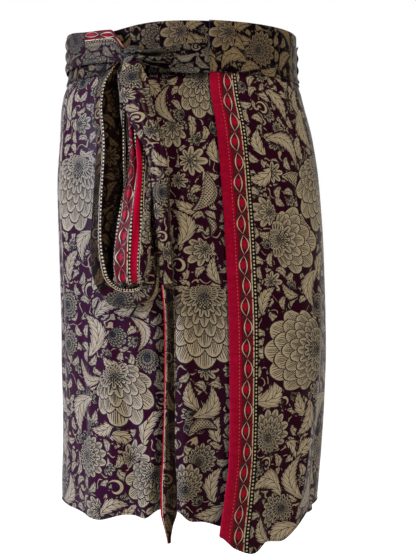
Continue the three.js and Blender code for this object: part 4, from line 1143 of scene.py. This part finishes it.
def hanging_strip(table, columns, rows, pleats, gathers, flap, seed):
    """A strip carried along the table's curve. Its width is turned by the table and square to the curve. Its
    broad pleats are a cosine across it. Its gathers are a cosine that drifts along it, drawn wide at their
    tops, so that they lie as soft box pleats. Its first third is turned back over the rest by the flap's
    length, with a rounded fold from a hyperbola. Without broad pleats it is folded in three. Returns points
    and length."""
    table = np.array(table, float)
    u, v = np.linspace(0, 1, columns + 1), np.linspace(0, 1, rows + 1)
    centre = smooth_line(table[:, :3], u)
    ahead, behind = np.clip(u + DIRECTION_STEP, 0, 1), np.clip(u - DIRECTION_STEP, 0, 1)
    tangent = smooth_line(table[:, :3], ahead) - smooth_line(table[:, :3], behind)
    tangent /= np.linalg.norm(tangent, axis=1, keepdims=True)
    number = u * (len(table) - 1)
    wide, turn, pleat = [through(np.arange(len(table)), table[:, column], number) for column in (3, 4, 5)]
    width = np.stack([np.cos(np.radians(turn)), np.sin(np.radians(turn)), 0 * turn], axis=1)
    width -= tangent * np.sum(width * tangent, axis=1, keepdims=True)
    width /= np.linalg.norm(width, axis=1, keepdims=True)
    raised = np.cross(tangent, width)
    drift = 2 * math.pi * u[:, None]
    phase = 2 * math.pi * gathers * v
    for size, times, seeds in DRIFTS:
        phase = phase + size * np.sin(times * drift + seeds * seed)
    if pleats:
        past_fold = np.hypot(v - FLAP_SHARE, FLAP_ROUND)
        turned = 0.5 * (FLAP_SHARE - v + past_fold) / FLAP_SHARE * (flap > 0)
        bunch = np.clip(TIE_WIDTH / wide - 1, 0, MOST_BUNCHED)[:, None] / (4 * math.pi * gathers)
        shift = FLAP_OVER * FLAP_SHARE * turned + bunch * (1 - turned) * np.sin(2 * phase)
        across = wide[:, None] * (v - 0.5 + shift)
        varied = STEADY_DEPTH + (1 - STEADY_DEPTH) * np.sin(DEPTH_WAVES[0] * v + DEPTH_WAVES[1] * drift)
        fold = gather_depth(wide, gathers)[:, None] * np.cos(phase) * varied
        fold = fold - pleat[:, None] * np.cos(2 * math.pi * pleats * (v - 0.5))
        fold = fold - flap * smooth(wide, *FLAP_WIDTHS)[:, None] * turned
    else:
        across, fold = in_three(v, wide, pleat, phase)
    points = centre[:, None] + width[:, None] * across[..., None] + raised[:, None] * fold[..., None]
    length = np.concatenate([[0], np.cumsum(np.linalg.norm(np.diff(centre, axis=0), axis=1))])
    return on_front(points[..., 0], points[..., 1], points[..., 2]), length


def tie_piece(name, points, length, silk, node, flipped=False, shaded_stretch=(0, 0, 0)):
    """A tie's cloth from a grid of points: its place on the flat cloth is the share across times the tie's
    width, and the length along it. The spray of motifs is repeated along it. Its hem is turned to the wrong
    side, so the print shows there on both sides. Its other side gets the nearly black wrong-side silk,
    painted shade for its shadowed inside. Between two lengths, up to a share of its width, its face too gets
    that nearly black wrong-side silk as painted shade, without any twist in the cloth."""
    share = np.linspace(0, 1, points.shape[1])
    if flipped:
        points, share = points[:, ::-1], share[::-1]
    cloth = np.stack(np.broadcast_arrays(share[None] * TIE_WIDTH, length[:, None]), axis=-1)
    piece = grid_mesh(name, points, cloth, TIE_CLOTH_WALL, [silk, shaded_silk_back, silk])
    middle = (share[:-1] + share[1:]) / 2
    hem_share = TIE_HEM / TIE_WIDTH
    in_hem = (middle < hem_share) | ((middle > 1 - hem_share) & (shaded_stretch[1] == 0))
    # The stretch whose face gets the nearly black wrong side, as painted shade
    start, end, up_to = shaded_stretch
    over = (length[1:, None] > start) & (length[1:, None] < end) & (share[None, 1:] < up_to)
    slots = np.where(in_hem[None], 2, np.where(over, 1, 0))
    piece.data.polygons.foreach_set("material_index", slots.astype(np.int32).ravel())
    repeats = range(-1, int(length[-1] / TIE_REPEAT) + 1)
    stamps = [(motif, u, v + TIE_REPEAT * number, size, turn) for number in repeats
              for motif, u, v, size, turn in TIE_PRINT]
    put_print(piece, cloth, largest_first(stamps))
    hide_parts(node)


# How fast the gathers wander round a tie, in radians a degree
GATHER_TURN = 0.05


def tie_round_band(table, columns, rows, gathers, near_knot):
    """A tie lying round the waistband between its upper and lower edge. Its gathers are the same soft box
    pleats, and it comes out to the knot over its last degrees. Returns points and the length along it."""
    angle = np.linspace(table["angle"][0], table["angle"][-1], columns + 1)
    angle, share = np.meshgrid(angle, np.linspace(0, 1, rows + 1), indexing="ij")
    top = through(table["angle"], table["top"], angle)
    height = top - through(table["angle"], table["bottom"], angle)
    phase = 2 * math.pi * gathers * share + GATHER_TURN * (angle - table["angle"][0])
    bunch = np.clip(TIE_WIDTH / height - 1, 0, MOST_BUNCHED) / (4 * math.pi * gathers)
    share = share + bunch * np.sin(2 * phase) * np.sin(math.pi * share)
    out = OVER_BAND + gather_depth(height, gathers) * (1 + np.cos(phase))
    points = on_outline(angle, top - height * share, out + OUT_TO_KNOT * smooth(angle, *near_knot))
    length = np.concatenate([[0], np.cumsum(np.linalg.norm(np.diff(points[:, rows // 2], axis=0), axis=1))])
    return points, length


tie_silk = printed_silk("printed_silk_of_ties", grounds=BAND_GROUNDS)
# The nearly black wrong side: painted shade on the ties' backs and on shadowed stretches of the outer loop
# and long tail
shaded_silk_back = printed_silk("wrong_side_of_printed_silk_in_painted_shade", WRONG_SIDE_SHADE_TANS, grounds=WRONG_SIDE_SHADE_GROUNDS, ink=WRONG_SIDE_SHADE_INK)
# Borders as they lie on each strip, in the same form as the panel's, and the length before the border shows
ROUND_STRIPES, ROUND_BORDER_FROM = ((15.0, "leaves"), (16.6, "line"), (22.0, "dots")), 492.0
OUTER_LOOP_STRIPES = ((4.2, "dots"), (5.0, "line"))
INNER_LOOP_STRIPES = (
    (4.4, "dots"), (5.2, "line"), (27.0, "leaves"), (28.0, "line"), (32.4, "dots"), (41.6, "plain"),
    (46.0, "dots"), (46.8, "line"),
)
TAIL_STRIPES, TAIL_BORDER_FROM = ((3.2, "plain"), (4.0, "line")), 285.0
tie_border_silk = printed_silk("printed_silk_of_ties_with_border", SHADED_TIE_TANS, ROUND_STRIPES, ROUND_BORDER_FROM)
loop_silk = printed_silk("printed_silk_of_outer_loop", SHADED_LOOP_TANS, OUTER_LOOP_STRIPES)
inner_silk = printed_silk("printed_silk_of_inner_loop", BOW_TANS, INNER_LOOP_STRIPES)
tail_silk = printed_silk("printed_silk_of_tails", BOW_TANS, TAIL_STRIPES, TAIL_BORDER_FROM)

points, length = tie_round_band(TIE_AROUND, columns=240, rows=48, gathers=3, near_knot=(322, 340))
tie_piece("tie_round", points, length, tie_border_silk, "tie_around")
points, length = tie_round_band(TIE_OVER, columns=48, rows=50, gathers=2, near_knot=(-2, -19))
tie_piece("tie_across", points[::-1], length, tie_silk, "tie_over")

# Each strip of the bow: its piece, table, silk, node and slot, how it is folded, whether its border lies at
# the other side, and where its face gets the dark wrong side as painted shade: from and to along it, and up
# to which share across
BOW_STRIPS = (
    ("bow_outer_loop", LOOP_OUTER, loop_silk, "bow_loop_outer", "printed_silk",
     {"columns": 260, "rows": 60, "pleats": 0.5, "gathers": 4, "flap": 17.0}, False, (128, 300, 0.35)),
    ("bow_inner_loop", LOOP_INNER, inner_silk, "bow_loop_inner", "border_silk",
     {"columns": 230, "rows": 60, "pleats": 1, "gathers": 3, "flap": 0.0}, True, (0, 0, 0)),
    ("bow_long_tail", TAIL_LONG, tail_silk, "tail_long", "printed_silk",
     {"columns": 260, "rows": 66, "pleats": 0, "gathers": 9, "flap": 0.0}, True, (285, 700, 1.1)),
    ("bow_short_tail", TAIL_SHORT, tie_silk, "tail_short", "printed_silk",
     {"columns": 90, "rows": 60, "pleats": 1, "gathers": 3, "flap": 0.0}, True, (0, 0, 0)),
)
FIRST_SEED, SEED_STEP = 0.4, 1.3
for number, (name, table, silk, node, slot, folded, flipped, shaded_stretch) in enumerate(BOW_STRIPS):
    points, length = hanging_strip(table, seed=FIRST_SEED + SEED_STEP * number, **folded)
    tie_piece(name, points, length, silk, node, flipped, shaded_stretch)


# The knot: the two ties wrapped once round each other and pulled tight, so a rounded lump with the ridges of
# its turns running over it. It is the same printed silk, and the loops and tails come out from under it.

KNOT_COLUMNS, KNOT_ROWS, KNOT_WALL = 64, 40, 0.5
# The opening at each pole, closed by the cloth's wall, in radians
POLE = 0.02
# Millimetres of cloth for each radian round and up the knot, and how far the spray of motifs is moved up
KNOT_CLOTH, KNOT_PRINT_UP = (13, 14), 20
# Swell and ridges: how far they stand out as a share, and their waves by height and by side. The dent round
# the middle: its depth as a share, and its half height.
SWELL, SWELL_WAVES = 0.06, (5, 3)
RIDGES, RIDGE_WAVES, RIDGE_SLANT = 0.05, 11, 0.35
DENT, DENT_HALF = 0.06, 0.3


def knot_surface(turn, rise):
    """A sphere by turn and height, drawn to the knot's half sizes. Over it run a broad swell, the finer
    ridges of its turns as a sine of a slanted height, and a dent round its middle."""
    x, y, z = np.sin(rise) * np.cos(turn), np.sin(rise) * np.sin(turn), np.cos(rise)
    swell = SWELL * np.cos(SWELL_WAVES[0] * z + SWELL_WAVES[1] * x)
    ridges = RIDGES * np.sin(RIDGE_WAVES * (z + RIDGE_SLANT * x)) * np.sin(rise)
    dent = DENT * np.exp(-(z / DENT_HALF) ** 2)
    size = 1 + swell + ridges - dent
    return on_front(KNOT["x"] + x * KNOT["half_width"] * size, KNOT["out"] + y * KNOT["half_out"] * size,
                    KNOT["z"] + z * KNOT["half_height"] * size)


knot_turn = np.linspace(0, 2 * math.pi, KNOT_COLUMNS + 1)
knot_rise = np.linspace(POLE, math.pi - POLE, KNOT_ROWS + 1)
knot_turn, knot_rise = np.meshgrid(knot_turn, knot_rise, indexing="ij")
knot_grid = knot_surface(knot_turn, knot_rise)[::-1]
knot_cloth = np.dstack([knot_turn * KNOT_CLOTH[0], knot_rise * KNOT_CLOTH[1]])[::-1]
knot = grid_mesh("bow_knot_wraps", knot_grid, knot_cloth, KNOT_WALL, [tie_silk])
knot_print = [(motif, u, v - KNOT_PRINT_UP, size, turn) for motif, u, v, size, turn in TIE_PRINT]
put_print(knot, knot_cloth, knot_print)
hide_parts("bow_knot")
